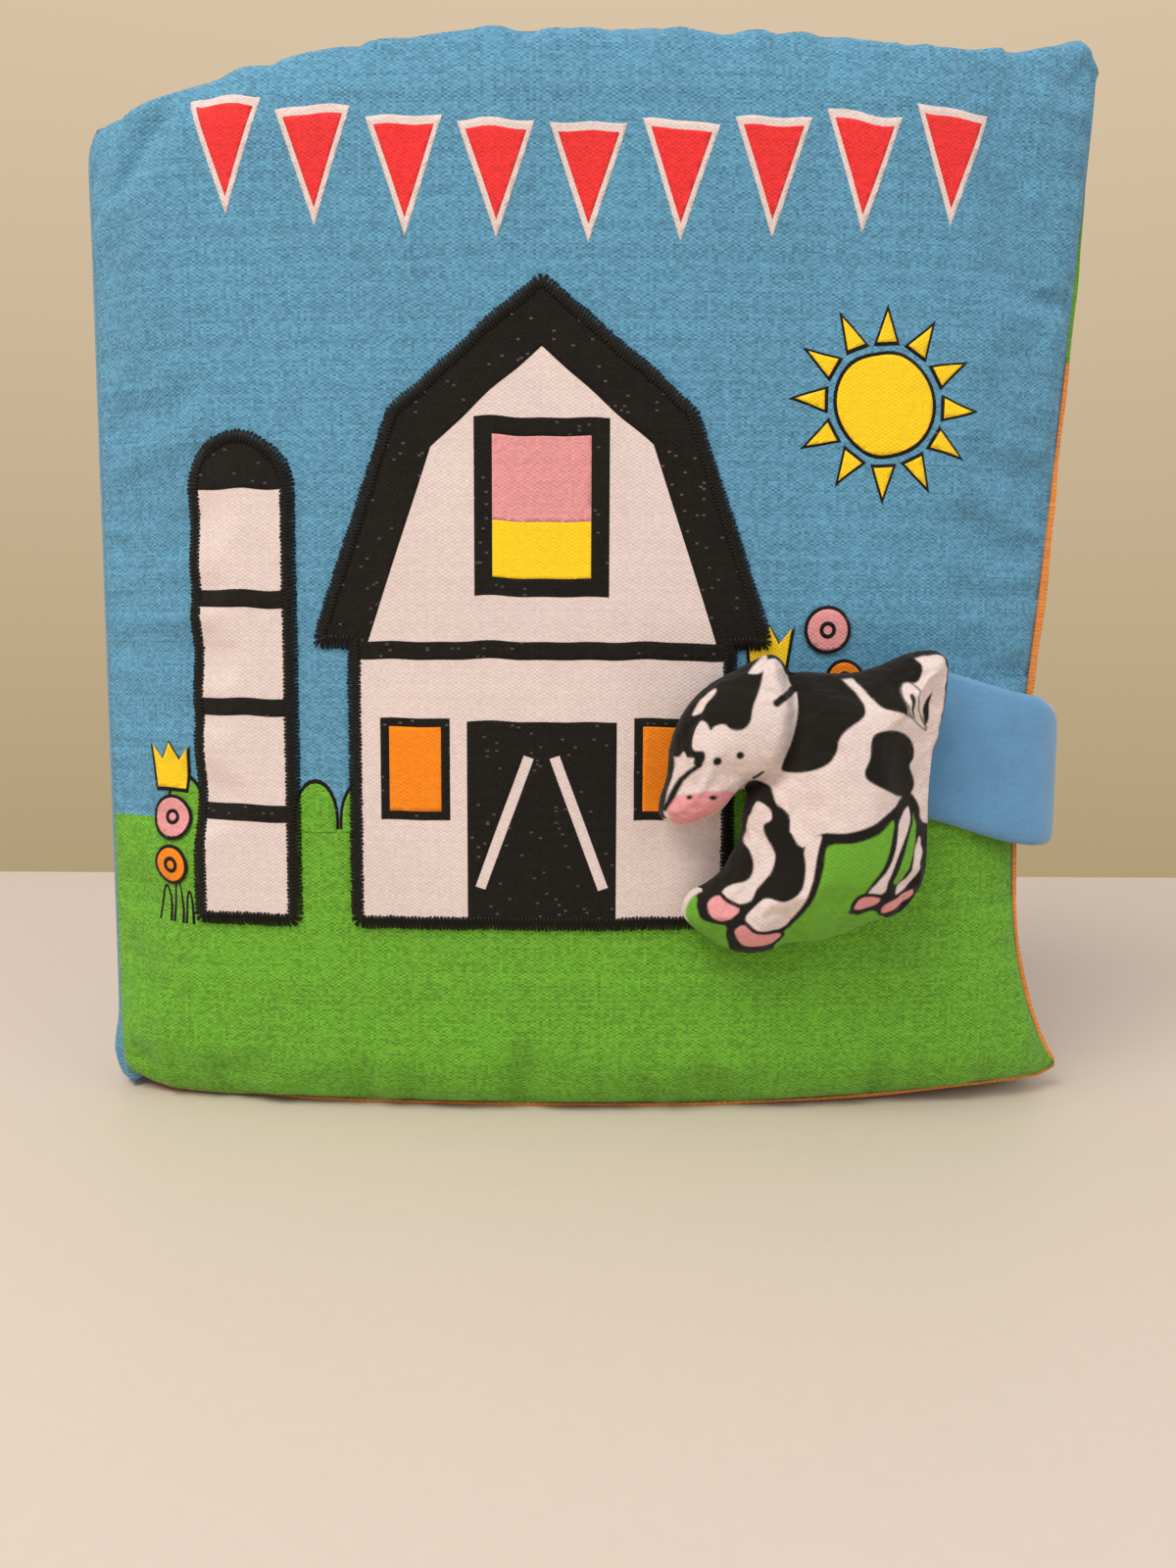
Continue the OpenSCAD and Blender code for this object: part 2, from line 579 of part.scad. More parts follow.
function slope(i) = let (p = place(i - 1), q = place(i + 1)) (q[1] - p[1]) / (q[0] - p[0]);
function between(a, i) = let (p = place(i), q = place(i + 1), span = q[0] - p[0], t = (a - p[0]) / span)
    p[1] * (1 + 2 * t) * pow(1 - t, 2) + slope(i) * span * t * pow(1 - t, 2)
        + q[1] * t * t * (3 - 2 * t) + slope(i + 1) * span * t * t * (t - 1);
function outline_share(a, i = 0) = a <= place(i + 1)[0] ? between(a, i) : outline_share(a, i + 1);
function toy_radius(a) = toy_half * outline_share(a < -90 ? a + 360 : a > 270 ? a - 360 : a);
// Height of the stuffing: full in the middle, none at the seam, with a fold at the neck
neck = [0.15, 0.32] * toy_half;
neck_w = toy_half * 0.12;
function neck_fold(p) = p[1] < -0.1 * toy_half ? 1
    : 1 - 0.2 * exp(-pow((p - neck) * [0.96, -0.28] / neck_w, 2));
function toy_height(p) = let (far = norm(p), share = min(1, far / toy_radius(atan2(p[1], p[0]))))
    sqrt(1 - pow(share, 2.6)) * neck_fold(p);
toy_x = book_w / 2 - toy_from_edge;
// The calf's back rests on the strap, some way behind the neck
toy_rest_x = toy_x + toy_half * 0.3;
toy_back_y = outer_point(bow_turn(toy_rest_x))[1] - strap_lift - strap_t - 2 * gap;
toy_seam_y = toy_back_y - toy_back_t;
toy_seam_t = 1.6;
function toy_point(p, side) = [toy_x + p[0],
    toy_seam_y + (side > 0 ? -toy_seam_t / 2 - (toy_front_t - toy_seam_t / 2) * toy_height(p)
        : toy_seam_t / 2 + (toy_back_t - toy_seam_t / 2) * toy_height(p)), toy_z + p[1]];
toy_rings = [1, 0.975, 0.92, 0.82, 0.66, 0.45, 0.22];
toy_spokes = 60;
function polar(r, a) = [r * cos(a), r * sin(a)];
function spoke(k) = 360 * k / toy_spokes - 90;
function toy_ring(share, side) = [for (k = [0 : toy_spokes - 1])
    toy_point(polar(share * toy_radius(spoke(k)), spoke(k)), side)];
// Faces of a dome of rings round a last point, and of the wall between two rims
function dome_faces(rings, count, first, flip) = concat(
    [for (r = [0 : rings - 2], k = [0 : count - 1])
        let (a = first + r * count + k, b = first + r * count + (k + 1) % count)
        each halves([a, a + count, b + count, b], flip)],
    [for (k = [0 : count - 1]) let (a = first + (rings - 1) * count + k,
        b = first + (rings - 1) * count + (k + 1) % count, top = first + rings * count)
        flip ? [b, top, a] : [a, top, b]]);
function wall_faces(count, first, second) = [for (k = [0 : count - 1])
    each halves([first + k, first + (k + 1) % count, second + (k + 1) % count, second + k], false)];
module two_domes(front, back, rings, count) {
    second = rings * count + 1;
    polyhedron(concat(front, back), concat(dome_faces(rings, count, 0, false),
        dome_faces(rings, count, second, true), wall_faces(count, 0, second)), 4);
}
module toy_calf() {
    color("#f3eeee") two_domes(
        concat(flat_list([for (s = toy_rings) toy_ring(s, 1)]), [toy_point([0, 0], 1)]),
        concat(flat_list([for (s = toy_rings) toy_ring(s, -1)]), [toy_point([0, 0], -1)]),
        len(toy_rings), toy_spokes);
}
// A field of print on the calf: a blob with a few bumps, laid on the stuffing
field_rings = [1, 0.55];
field_spokes = 22;
field_low = 0.45;
function field_edge(centre, size, a) = centre + [size[0] * cos(a), size[1] * sin(a)]
    * (1 + 0.14 * sin(3 * a + 40) + 0.08 * cos(5 * a));
function field_ring(centre, size, share, lift) = [for (k = [0 : field_spokes - 1])
    let (p = centre + share * (field_edge(centre, size, 360 * k / field_spokes) - centre))
    toy_point(p, 1) - [0, lift, 0]];
function field_side(centre, size, lift) = concat(
    flat_list([for (s = field_rings) field_ring(centre, size, s, lift)]),
    [toy_point(centre, 1) - [0, lift, 0]]);
module toy_field(centre, size) {
    place = centre * toy_half;
    reach = size * toy_half;
    two_domes(field_side(place, reach, field_low + print_t), field_side(place, reach, field_low),
        len(field_rings), field_spokes);
}
module toy_patches() {
    color("#1b1a1d") {
        toy_field([0.4, 0.3], [0.2, 0.2]);
        toy_field([0.82, 0.04], [0.13, 0.2]);
        toy_field([-0.26, 0.4], [0.15, 0.14]);
        toy_field([0.08, -0.62], [0.12, 0.24]);
    }
}
module toy_muzzle() {
    color("#e58aa0") toy_field([-0.41, -0.17], [0.11, 0.08]);
}
module toy_meadow() {
    color("#4da32f") toy_field([0.52, -0.66], [0.2, 0.18]);
}

front_cover();
front_lining();
back_cover();
spine();
pages();
closing_strap();
hook_patch();
loop_tab();
meadow_print();
grass_print();
bunting_edging();
bunting_flags();
barn_cloth();
silo_cloth();
barn_stitching();
silo_stitching();
timber_print();
silo_print();
loft_door_print();
hay_print();
window_print();
sun_print();
daisy_print();
marigold_print();
tulip_print();
toy_calf();
toy_patches();
toy_muzzle();
toy_meadow();
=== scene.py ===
"""Padded cloth book with a stuffed calf, standing closed on a pale table."""
import math

import bmesh
import bpy
import numpy as np
from mathutils import Matrix, Vector


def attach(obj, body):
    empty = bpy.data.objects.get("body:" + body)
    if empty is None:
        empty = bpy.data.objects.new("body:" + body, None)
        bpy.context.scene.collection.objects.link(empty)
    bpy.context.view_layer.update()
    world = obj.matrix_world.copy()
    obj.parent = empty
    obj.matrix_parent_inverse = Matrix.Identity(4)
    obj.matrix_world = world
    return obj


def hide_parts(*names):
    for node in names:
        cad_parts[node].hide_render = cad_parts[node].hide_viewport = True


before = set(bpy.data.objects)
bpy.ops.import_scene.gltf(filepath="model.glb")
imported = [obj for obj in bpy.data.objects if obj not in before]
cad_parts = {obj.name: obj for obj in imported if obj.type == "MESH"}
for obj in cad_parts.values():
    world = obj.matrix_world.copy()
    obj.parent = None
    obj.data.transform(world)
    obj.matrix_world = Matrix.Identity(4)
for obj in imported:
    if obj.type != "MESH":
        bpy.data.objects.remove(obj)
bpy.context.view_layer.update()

scene = bpy.context.scene
scene.view_settings.view_transform = "Standard"
bpy.ops.object.select_all(action="DESELECT")
MM = 0.001
noise = np.random.default_rng(7)

# Sizes of the closed book in millimetres, as in the part's source
BOOK_W, BOOK_H, SPINE_R = 236.0, 248.0, 21.0
BOW_R = BOOK_W * 2.44
CREASE = 56.0
EDGE_PULL, SPINE_DROOP, CORNER_FLARE, FOOT_RISE, CORNER_R = 13.5, 18.0, 4.5, 4.0, 6.0
BEND_BELOW, BEND_ABOVE = 3.6, 0.85  # how sharply the fore-edge bends, below and above the strap
DROOP_L, FLARE_L, FOOT_FLAT = BOOK_W * 0.45, BOOK_W * 0.3, BOOK_W * 0.085
COVER_T, EDGE_ROLL, SEAM_SHARE, LINING_T, GAP = 10.0, 15.0, 0.3, 0.8, 0.3
LEAF_COUNT, LEAF_T, LEAF_SEWN_T, PAGE_INSET = 5, 7.0, 1.8, 3.0
STRAP_W, STRAP_T, STRAP_Z = 35.0, 2.0, 81.0
STRAP_FRONT, STRAP_BEND, STRAP_TAIL, STRAP_SLACK = 62.0, 8.0, 15.0, 7.0
HOOK_T, TAB_T, TAB_SEWN, TAB_BEND = 1.2, 1.6, 24.0, 3.0
PRINT_T, MEADOW_Z = 0.25, 69.0
TOY_W, TOY_BACK, TOY_FROM_EDGE, TOY_Z = 62.4, 5.0, 77.5, 81.0
CLEAR = 0.05  # height that cloth keeps above the table

BOOK_T = LEAF_COUNT * LEAF_T + 2 * (COVER_T + LINING_T + GAP)
SPINE_X = SPINE_R - BOOK_W / 2
BOW_Y = BOW_R - BOOK_T / 2
BOW_X = SPINE_X + math.sqrt((BOW_R - SPINE_R) ** 2 - BOW_Y ** 2)
JOIN = math.degrees(math.asin((BOW_X - SPINE_X) / (BOW_R - SPINE_R)))
JOIN_X = SPINE_X - SPINE_R * math.sin(math.radians(JOIN))
CREASE_X = SPINE_X - SPINE_R * math.sin(math.radians(CREASE))
CREASE_Y = SPINE_R * math.cos(math.radians(CREASE))
CURL_L = math.radians(CREASE - JOIN) * SPINE_R


# Shape of the closed book, seen from above and from the front
def outer_point(turn):
    a = np.radians(turn)
    bow = np.stack([BOW_X - BOW_R * np.sin(a), BOW_Y - BOW_R * np.cos(a)], -1)
    curl = np.stack([SPINE_X - SPINE_R * np.sin(a), -SPINE_R * np.cos(a)], -1)
    return np.where((turn < JOIN)[..., None], bow, curl)


def outward(turn):
    a = np.radians(turn)
    return np.stack([-np.sin(a), -np.cos(a)], -1)


def bow_turn(x):
    return np.degrees(np.arcsin((BOW_X - x) / BOW_R))


def front_turn(x):
    curl = np.degrees(np.arcsin(np.clip((SPINE_X - x) / SPINE_R, 0, 1)))
    return np.where(x < JOIN_X, curl, bow_turn(x))


def path_length(turn):
    curl = np.radians(CREASE - turn) * SPINE_R
    return np.where(turn > JOIN, curl, CURL_L + np.radians(JOIN - turn) * BOW_R)


def turn_at(length):
    return np.where(length < CURL_L, CREASE - np.degrees(length / SPINE_R),
                    JOIN - np.degrees((length - CURL_L) / BOW_R))


def fore_edge_x(z):
    z = np.clip(z, 0, BOOK_H)
    low = 1 - np.maximum(0, 1 - z / STRAP_Z) ** BEND_BELOW
    high = 1 - np.clip((z - STRAP_Z) / (BOOK_H - STRAP_Z), 0, 1) ** BEND_ABOVE
    return BOOK_W / 2 - EDGE_PULL * np.where(z < STRAP_Z, low, high)


def top_z(x):
    droop = np.maximum(0, 1 - (x + BOOK_W / 2) / DROOP_L) ** 2
    flare = np.clip(1 - (BOOK_W / 2 - x) / FLARE_L, 0, 1) ** 2
    return BOOK_H - SPINE_DROOP * droop - CORNER_FLARE * (1 - flare)


def foot_z(x):
    return FOOT_RISE * np.maximum(0, (x - FOOT_FLAT) / (BOOK_W / 2 - FOOT_FLAT)) ** 2


def corner_cut(d, r):
    return np.where(d < r, r - np.sqrt(np.maximum(0, r * r - (r - d) ** 2)), 0)


def ease(t):
    t = np.clip(t, 0, 1)
    return t * t * (3 - 2 * t)


def swell(d, roll):
    return np.sqrt(np.maximum(0, 1 - (1 - np.clip(d / roll, 0, 1)) ** 2))


# Colour and material
DASH = 1.6  # length of a dash, in pitches of the rows
WEAVE, CROSSING, WARP, WEFT, WEAR = 0.4, 0.9, 0.15, 0.3, 0.2  # shares of what varies the tone of a cloth
FLUFF = "#68625d"
# Patterns, in repeats to the millimetre: patches of wear, tufts and patches of pile, turns of thread, specks
MOTTLE, PILE_ALONG, PILE_ACROSS, PILE_PATCH, TWIST, SPECK = 0.038, 0.5, 1.1, 0.13, 2.6, 0.3


def linear(code):
    parts = [int(code[i:i + 2], 16) / 255 for i in (1, 3, 5)]
    return tuple(c / 12.92 if c <= 0.04045 else ((c + 0.055) / 1.055) ** 2.4 for c in parts) + (1.0,)


def shade(code, factor):
    return tuple(min(1.0, c * factor) for c in linear(code)[:3]) + (1.0,)


def add(tree, kind, feeds=None, **settings):
    node = tree.nodes.new("ShaderNode" + kind)
    for name, value in settings.items():
        setattr(node, name, value)
    for socket, value in (feeds or {}).items():
        if isinstance(value, bpy.types.NodeSocket):
            tree.links.new(value, node.inputs[socket])
        else:
            node.inputs[socket].default_value = value
    return node


def new_material(name):
    material = bpy.data.materials.new(name)
    material.use_nodes = True
    return material, material.node_tree, material.node_tree.nodes["Principled BSDF"]


def dress(tree, shader, colour, relief, rough, constants):
    """Joins a colour, a relief (pattern, strength, mm) and a roughness (pattern, low, high) to a shader."""
    height, strength, depth = relief
    bump = add(tree, "Bump", {"Height": height, "Strength": strength, "Distance": depth * MM}).outputs[0]
    pattern, low, high = rough
    feeds = {"Value": pattern, "From Min": 0.3, "From Max": 0.7, "To Min": low, "To Max": high}
    worn = add(tree, "MapRange", feeds).outputs[0]
    for socket, output in (("Base Color", colour), ("Normal", bump), ("Roughness", worn)):
        tree.links.new(output, shader.inputs[socket])
    for socket, value in constants.items():
        shader.inputs[socket].default_value = value


def woven_cloth(name, code, grain=0.3, below=None, line_v=0.0, pitch=0.44, lint=0.0, attribute=None):
    """Polycotton sheeting, plain weave, printed: matt, with short level dashes where the weft is on top.

    The real threads lie about 0.36 mm apart, too fine to show, so rows are drawn 0.44 mm apart and dashes
    0.7 mm long. Grain is how much lighter and darker the crossings of the threads are; lint is the share of
    pale fluff.
    """
    material, tree, shader = new_material(name)
    flat = add(tree, "UVMap", uv_map="flat").outputs["UV"]
    per_thread = (1 / (DASH * pitch * MM), 1 / (pitch * MM), 0)
    threads = add(tree, "VectorMath", {0: flat, 1: per_thread}, operation="MULTIPLY").outputs[0]
    split = add(tree, "SeparateXYZ", {"Vector": threads}).outputs
    ridges = []
    for axis in (0, 1):
        turn = add(tree, "Math", {0: split[axis], 1: math.pi}, operation="MULTIPLY").outputs[0]
        ridges.append(add(tree, "Math", {0: turn}, operation="SINE").outputs[0])
    weave = add(tree, "Math", dict(enumerate(ridges)), operation="MULTIPLY").outputs[0]
    cell = add(tree, "VectorMath", {0: threads}, operation="FLOOR").outputs[0]
    number = add(tree, "SeparateXYZ", {"Vector": cell}).outputs
    crossing = add(tree, "TexWhiteNoise", {"Vector": cell}, noise_dimensions="2D").outputs["Value"]
    warp, weft = [add(tree, "TexWhiteNoise", {"W": axis}, noise_dimensions="1D").outputs["Value"]
                  for axis in (number["X"], number["Y"])]
    mottle = add(tree, "TexNoise", {"Vector": flat, "Scale": MOTTLE / MM, "Detail": 3.0}).outputs["Fac"]
    tones = 0.9 - 0.675 * grain
    shares = (weave, WEAVE), (crossing, CROSSING), (warp, WARP), (weft, WEFT), (mottle, WEAR / grain)
    for part, share in shares:
        tones = add(tree, "Math", {0: part, 1: share * grain, 2: tones}, operation="MULTIPLY_ADD").outputs[0]
    if attribute:
        ink = add(tree, "VertexColor", layer_name=attribute).outputs["Color"]
    else:
        ink = add(tree, "RGB").outputs[0]
        ink.default_value = linear(code)
    if below:
        under = add(tree, "Math", {0: split["Y"], 1: line_v / pitch}, operation="LESS_THAN").outputs[0]
        ink = add(tree, "Mix", {"Factor": under, 6: ink, 7: linear(below)}, data_type="RGBA").outputs[2]
    result = add(tree, "VectorMath", {0: ink, "Scale": tones}, operation="SCALE").outputs[0]
    if lint:
        fluff = add(tree, "Math", {0: crossing, 1: 1 - lint}, operation="GREATER_THAN").outputs[0]
        share = add(tree, "Math", {0: fluff, 1: mottle}, operation="MULTIPLY").outputs[0]
        feeds = {"Factor": share, 6: result, 7: linear(FLUFF)}
        result = add(tree, "Mix", feeds, data_type="RGBA").outputs[2]
    dress(tree, shader, result, (weave, 0.3, 0.12), (mottle, 0.82, 0.96),
          {"Specular IOR Level": 0.2, "Sheen Weight": 0.1, "Sheen Roughness": 0.5})
    return material


def brushed_loop(name, code):
    """Brushed nylon loop fabric: a short combed pile that scatters light and mottles."""
    material, tree, shader = new_material(name)
    flat = add(tree, "UVMap", uv_map="flat").outputs["UV"]
    per_tuft = (PILE_ALONG / MM, PILE_ACROSS / MM, 1)
    lay = add(tree, "Mapping", {"Vector": flat, "Scale": per_tuft}).outputs[0]
    feeds = {"Vector": lay, "Scale": 1.0, "Detail": 4.0, "Roughness": 0.7}
    pile = add(tree, "TexNoise", feeds).outputs["Fac"]
    patch = add(tree, "TexNoise", {"Vector": flat, "Scale": PILE_PATCH / MM, "Detail": 2.0}).outputs["Fac"]
    both = add(tree, "Math", {0: pile, 1: patch}, operation="ADD").outputs[0]
    tone = add(tree, "MapRange", {"Value": both, "From Min": 0.7, "From Max": 1.3}).outputs[0]
    feeds = {"Factor": tone, 6: shade(code, 0.9), 7: shade(code, 1.1)}
    colour = add(tree, "Mix", feeds, data_type="RGBA").outputs[2]
    dress(tree, shader, colour, (pile, 0.5, 0.3), (patch, 0.9, 1.0),
          {"Specular IOR Level": 0.15, "Sheen Weight": 0.45, "Sheen Roughness": 0.6})
    return material


def satin_thread(name, code):
    """Rayon embroidery thread laid side by side: dark, with a soft gleam along the strands."""
    material, tree, shader = new_material(name)
    place = add(tree, "TexCoord").outputs["Object"]
    twist = add(tree, "TexNoise", {"Vector": place, "Scale": TWIST / MM, "Detail": 2.0}).outputs["Fac"]
    feeds = {"Factor": twist, 6: shade(code, 0.4), 7: shade(code, 1.2)}
    colour = add(tree, "Mix", feeds, data_type="RGBA").outputs[2]
    dress(tree, shader, colour, (twist, 0.3, 0.08), (twist, 0.45, 0.65), {"Specular IOR Level": 0.3})
    return material


def printing(name, code, grain, slot=None, **given):
    return woven_cloth(name + " ink on sheeting", code, grain, **given), slot or name + "_print"


SKY, MEADOW, WHITE, BLACK, RED = "#5b92af", "#68a42f", "#dfccc6", "#17130f", "#e73434"
PINK, YELLOW, ORANGE, LINING, STRAP = "#e19697", "#f8ce20", "#f18516", "#ec9247", "#588fb9"
WHITE_PRINT = printing("white", WHITE, 0.14, "picture_cloth")
BLACK_PRINT = printing("black", BLACK, 0.7, lint=0.014)
GREEN_PRINT, RED_PRINT, PINK_PRINT = [
    printing(*ink) for ink in (("green", MEADOW, 0.55), ("red", RED, 0.3), ("pink", PINK, 0.22))]
YELLOW_PRINT, ORANGE_PRINT = printing("yellow", YELLOW, 0.12), printing("orange", ORANGE, 0.16)
sky_and_meadow = woven_cloth("printed sheeting, sky over meadow", SKY, 0.55, below=MEADOW, line_v=MEADOW_Z)
sky_cloth = woven_cloth("dyed sheeting, sky blue", SKY, 0.55)
white_cloth = woven_cloth("white picture cloth", WHITE, 0.14)
LINING_LINE, PAGE_LINE = 176.0, 70.0
lining_cloth = woven_cloth("printed sheeting, lining, green over orange", MEADOW, 0.3, below=LINING,
                           line_v=LINING_LINE)
page_cloth = woven_cloth("printed sheeting, pages", "#e6d3a4", 0.2, below="#7cab45", line_v=PAGE_LINE)
toy_cloth = woven_cloth("printed sheeting, calf", WHITE, 0.14, attribute="ink", pitch=0.45)
strap_cloth = brushed_loop("brushed loop fabric, light blue", STRAP)
hook_tape = brushed_loop("woven hook tape, blue", "#41749c")
black_thread = satin_thread("black embroidery thread", BLACK)


# Meshes from arrays of points in millimetres
def new_object(name, points, faces):
    mesh = bpy.data.meshes.new(name)
    mesh.from_pydata((np.asarray(points) * MM).tolist(), [], [tuple(map(int, f)) for f in faces])
    thing = bpy.data.objects.new(name, mesh)
    scene.collection.objects.link(thing)
    return thing


def taken_up(thing):
    """Points and faces of an object as its modifiers leave it; the object itself is removed."""
    ready = thing.evaluated_get(bpy.context.evaluated_depsgraph_get()).to_mesh()
    points = np.empty(len(ready.vertices) * 3)
    ready.vertices.foreach_get("co", points)
    faces = [tuple(p.vertices) for p in ready.polygons]
    bpy.data.objects.remove(thing)
    return points.reshape(-1, 3) / MM, faces


def corners(mesh):
    corner = np.empty(len(mesh.loops), dtype=np.int32)
    mesh.loops.foreach_get("vertex_index", corner)
    return corner


def piece(name, points, faces, flat, material, body, slot, *nodes):
    thing = new_object(name, points, faces)
    mesh = thing.data
    mesh.update()
    layer = mesh.uv_layers.new(name="flat")
    layer.data.foreach_set("uv", (np.asarray(flat)[corners(mesh)] * MM).astype(np.float32).ravel())
    mesh.polygons.foreach_set("use_smooth", np.ones(len(mesh.polygons), dtype=bool))
    mesh.materials.append(material)
    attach(thing, body)
    if nodes:
        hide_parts(*nodes)
    return thing


def edit_mesh(thing, change):
    edit = bmesh.new()
    edit.from_mesh(thing.data)
    change(edit)
    edit.to_mesh(thing.data)
    edit.free()


def merge_rim(edit):
    bmesh.ops.remove_doubles(edit, verts=edit.verts, dist=1e-7)


def grid_quads(m, n, first=0, flip=False):
    i, j = np.meshgrid(np.arange(m - 1), np.arange(n - 1), indexing="ij")
    a = (first + i * n + j).ravel()
    quads = np.stack([a, a + n, a + n + 1, a + 1], -1)
    return quads[:, ::-1] if flip else quads


def two_sheets(m, n, first=0):
    """Faces of two grids of points, one behind the other, joined round their rim."""
    count, last = m * n, (m - 1) * n
    rim = [(i * n, (i + 1) * n) for i in range(m - 1)] + [(last + j, last + j + 1) for j in range(n - 1)]
    rim += [((i + 1) * n + n - 1, i * n + n - 1) for i in range(m - 1)] + [(j + 1, j) for j in range(n - 1)]
    walls = np.array([(b, a, a + count, b + count) for a, b in rim]) + first
    return np.concatenate([grid_quads(m, n, first), grid_quads(m, n, first + count, True), walls])


def sheet_piece(name, outer, inner, flat, *given):
    points = np.concatenate([outer.reshape(-1, 3), inner.reshape(-1, 3)])
    return piece(name, points, two_sheets(*outer.shape[:2]), np.tile(flat.reshape(-1, 2), (2, 1)), *given)


def pad_piece(*given):
    thing = sheet_piece(*given)
    edit_mesh(thing, merge_rim)


def cut_shape(loops, cuts, dist):
    """A flat shape, filled between closed loops of points and cut by planes: its mesh."""
    edit = bmesh.new()
    for loop in loops:
        verts = [edit.verts.new(p) for p in loop]
        for pair in zip(verts, verts[1:] + verts[:1]):
            edit.edges.new(pair)
    bmesh.ops.triangle_fill(edit, use_beauty=True, use_dissolve=False, edges=edit.edges[:])
    for way, lines in cuts:
        way = Vector(way)
        reach = [v.co.dot(way) for v in edit.verts]
        for line in lines(min(reach), max(reach)):
            bmesh.ops.bisect_plane(edit, geom=edit.verts[:] + edit.edges[:] + edit.faces[:], dist=dist,
                                   plane_co=way * float(line) / way.length_squared, plane_no=way)
    return edit


def closed_faces(edit, up):
    """Faces of two copies of a flat mesh, the first facing up, joined round their rim; the mesh is freed."""
    edit.verts.index_update()
    count = len(edit.verts)
    top = [[v.index for v in (f.verts if f.normal.dot(up) > 0 else reversed(f.verts))] for f in edit.faces]
    edit.free()
    edges = {(a, b) for f in top for a, b in zip(f, f[1:] + f[:1])}
    walls = [(b, a, a + count, b + count) for a, b in sorted(edges) if (b, a) not in edges]
    return top + [[v + count for v in reversed(f)] for f in top] + walls


def refine(grid, times):
    """A smooth curve through the rows of a grid, with more rows."""
    n = len(grid)
    place = np.linspace(0, n - 1, (n - 1) * times + 1)
    i = np.minimum(place.astype(int), n - 2)
    f = (place - i).reshape((-1,) + (1,) * (grid.ndim - 1))
    ahead = np.concatenate([[2 * grid[0] - grid[1]], grid, [2 * grid[-1] - grid[-2]]])
    a, b, c, d = ahead[i], ahead[i + 1], ahead[i + 2], ahead[i + 3]
    return b + 0.5 * f * (c - a + f * (2 * a - 5 * b + 4 * c - d + f * (3 * (b - c) + d - a)))


def refine_both(grid, times):
    return refine(refine(grid, times).swapaxes(0, 1), times).swapaxes(0, 1)


def normals_of(grid):
    n = np.cross(np.gradient(grid, axis=0), np.gradient(grid, axis=1))
    return n / np.maximum(1e-9, np.linalg.norm(n, axis=-1, keepdims=True))


SHEETING = dict(quality=6, mass=0.15, tension_stiffness=15, compression_stiffness=15, shear_stiffness=5,
                bending_stiffness=0.4, use_pressure=True)


def stuffed(points, faces, held, pressure, frames, cap, slack):
    """Blows a sewn shape up as cloth, and gives back its points, none moved more than the cap."""
    points = np.asarray(points, dtype=float)
    thing = new_object("sewing", points, faces)
    group = thing.vertex_groups.new(name="held")
    for weight in np.unique(held):
        if weight > 0:
            group.add(np.flatnonzero(held == weight).tolist(), float(weight), "REPLACE")
    cloth = thing.modifiers.new("cloth", "CLOTH")
    settings = dict(SHEETING, uniform_pressure_force=pressure, shrink_min=-slack, vertex_group_mass="held")
    for setting, value in settings.items():
        setattr(cloth.settings, setting, value)
    cloth.settings.effector_weights.gravity = 0
    cloth.collision_settings.use_collision = False
    cloth.point_cache.frame_start, cloth.point_cache.frame_end = 1, frames
    for number in range(1, frames + 1):
        scene.frame_set(number)
    moved = taken_up(thing)[0] - points
    scene.frame_set(1)
    far = np.linalg.norm(moved, axis=1, keepdims=True)
    return points + moved * np.minimum(1, cap / np.maximum(far, 1e-9))


# Stuffed covers
COLUMNS, ROWS = 80, 86
FRONT_ROLL, BACK_ROLL = COVER_T * (1 - SEAM_SHARE), COVER_T * SEAM_SHARE
LINING_SHOWS = 0.8
FOOT_CORNER_R, CORNER_LIFT, CORNER_LIFT_L = CORNER_R * 0.4, 4.2, 30.0
DIP, DIP_X, DIP_W = 2.4, 88.0, 22.0
CREASE_T, CREASE_L, CREASE_ROLL = 2.5, 9.0, 0.25
LINING_START, ROLL_START, SWELL_START = 40.0, 45.0, 20.0  # mm from the crease to where each is full
START_SWELL = 0.6
# Uneven waves along the seams: wavelength and height in millimetres, and phase
HEAD_WAVES = (19.0, 0.25, 0.2), (11.3, 0.22, 0.7), (34.0, 0.3, 0.4)
PUCKERS = (9.3, 0.35, 0.1), (13.7, 0.4, 0.6), (6.1, 0.2, 0.3), (23.0, 0.4, 0.8)
PRESSURE, FRAMES, FURTHEST, SLACK = 3.0, 18, 3.0, 0.02
SEAM_HOLD, SEAM_W = 0.4, 4.0
BACK_FOOT_H = 12.0  # height over which the back cover's foot comes down to the table
SWELL_CAP, CAP_UNDER_STRAP, CREEP = 1.6, 0.3, 0.12
HELD_X, HELD_LOW, HELD_HIGH, HELD_SOFT = 12.0, 38.0, 110.0, 2.5  # the part under the strap and the calf


def waves(length, *parts):
    """An uneven wave along a seam, from [wavelength, height, phase] parts in millimetres."""
    return sum(h * np.sin(2 * np.pi * (length / w + p)) for w, h, p in parts)


def gathered(edge, reach=9.0):
    """How much cloth is drawn up beside a seam."""
    return np.exp(-(edge / reach) ** 2) * swell(edge, SEAM_W)


def inner_depth(front, k, along):
    """Depth of a pad's inner sheet, thin at the crease and full a little way from it."""
    full, thin = COVER_T - (1 - k) * BACK_ROLL, CREASE_T + front
    return np.maximum(front, thin + (full - thin) * swell(along, CREASE_L))


def at_depth(place, out, z, depth):
    return np.concatenate([place - out * depth[..., None], z[..., None]], -1)


MIDDLE_L = path_length(bow_turn(np.array(0.0)))


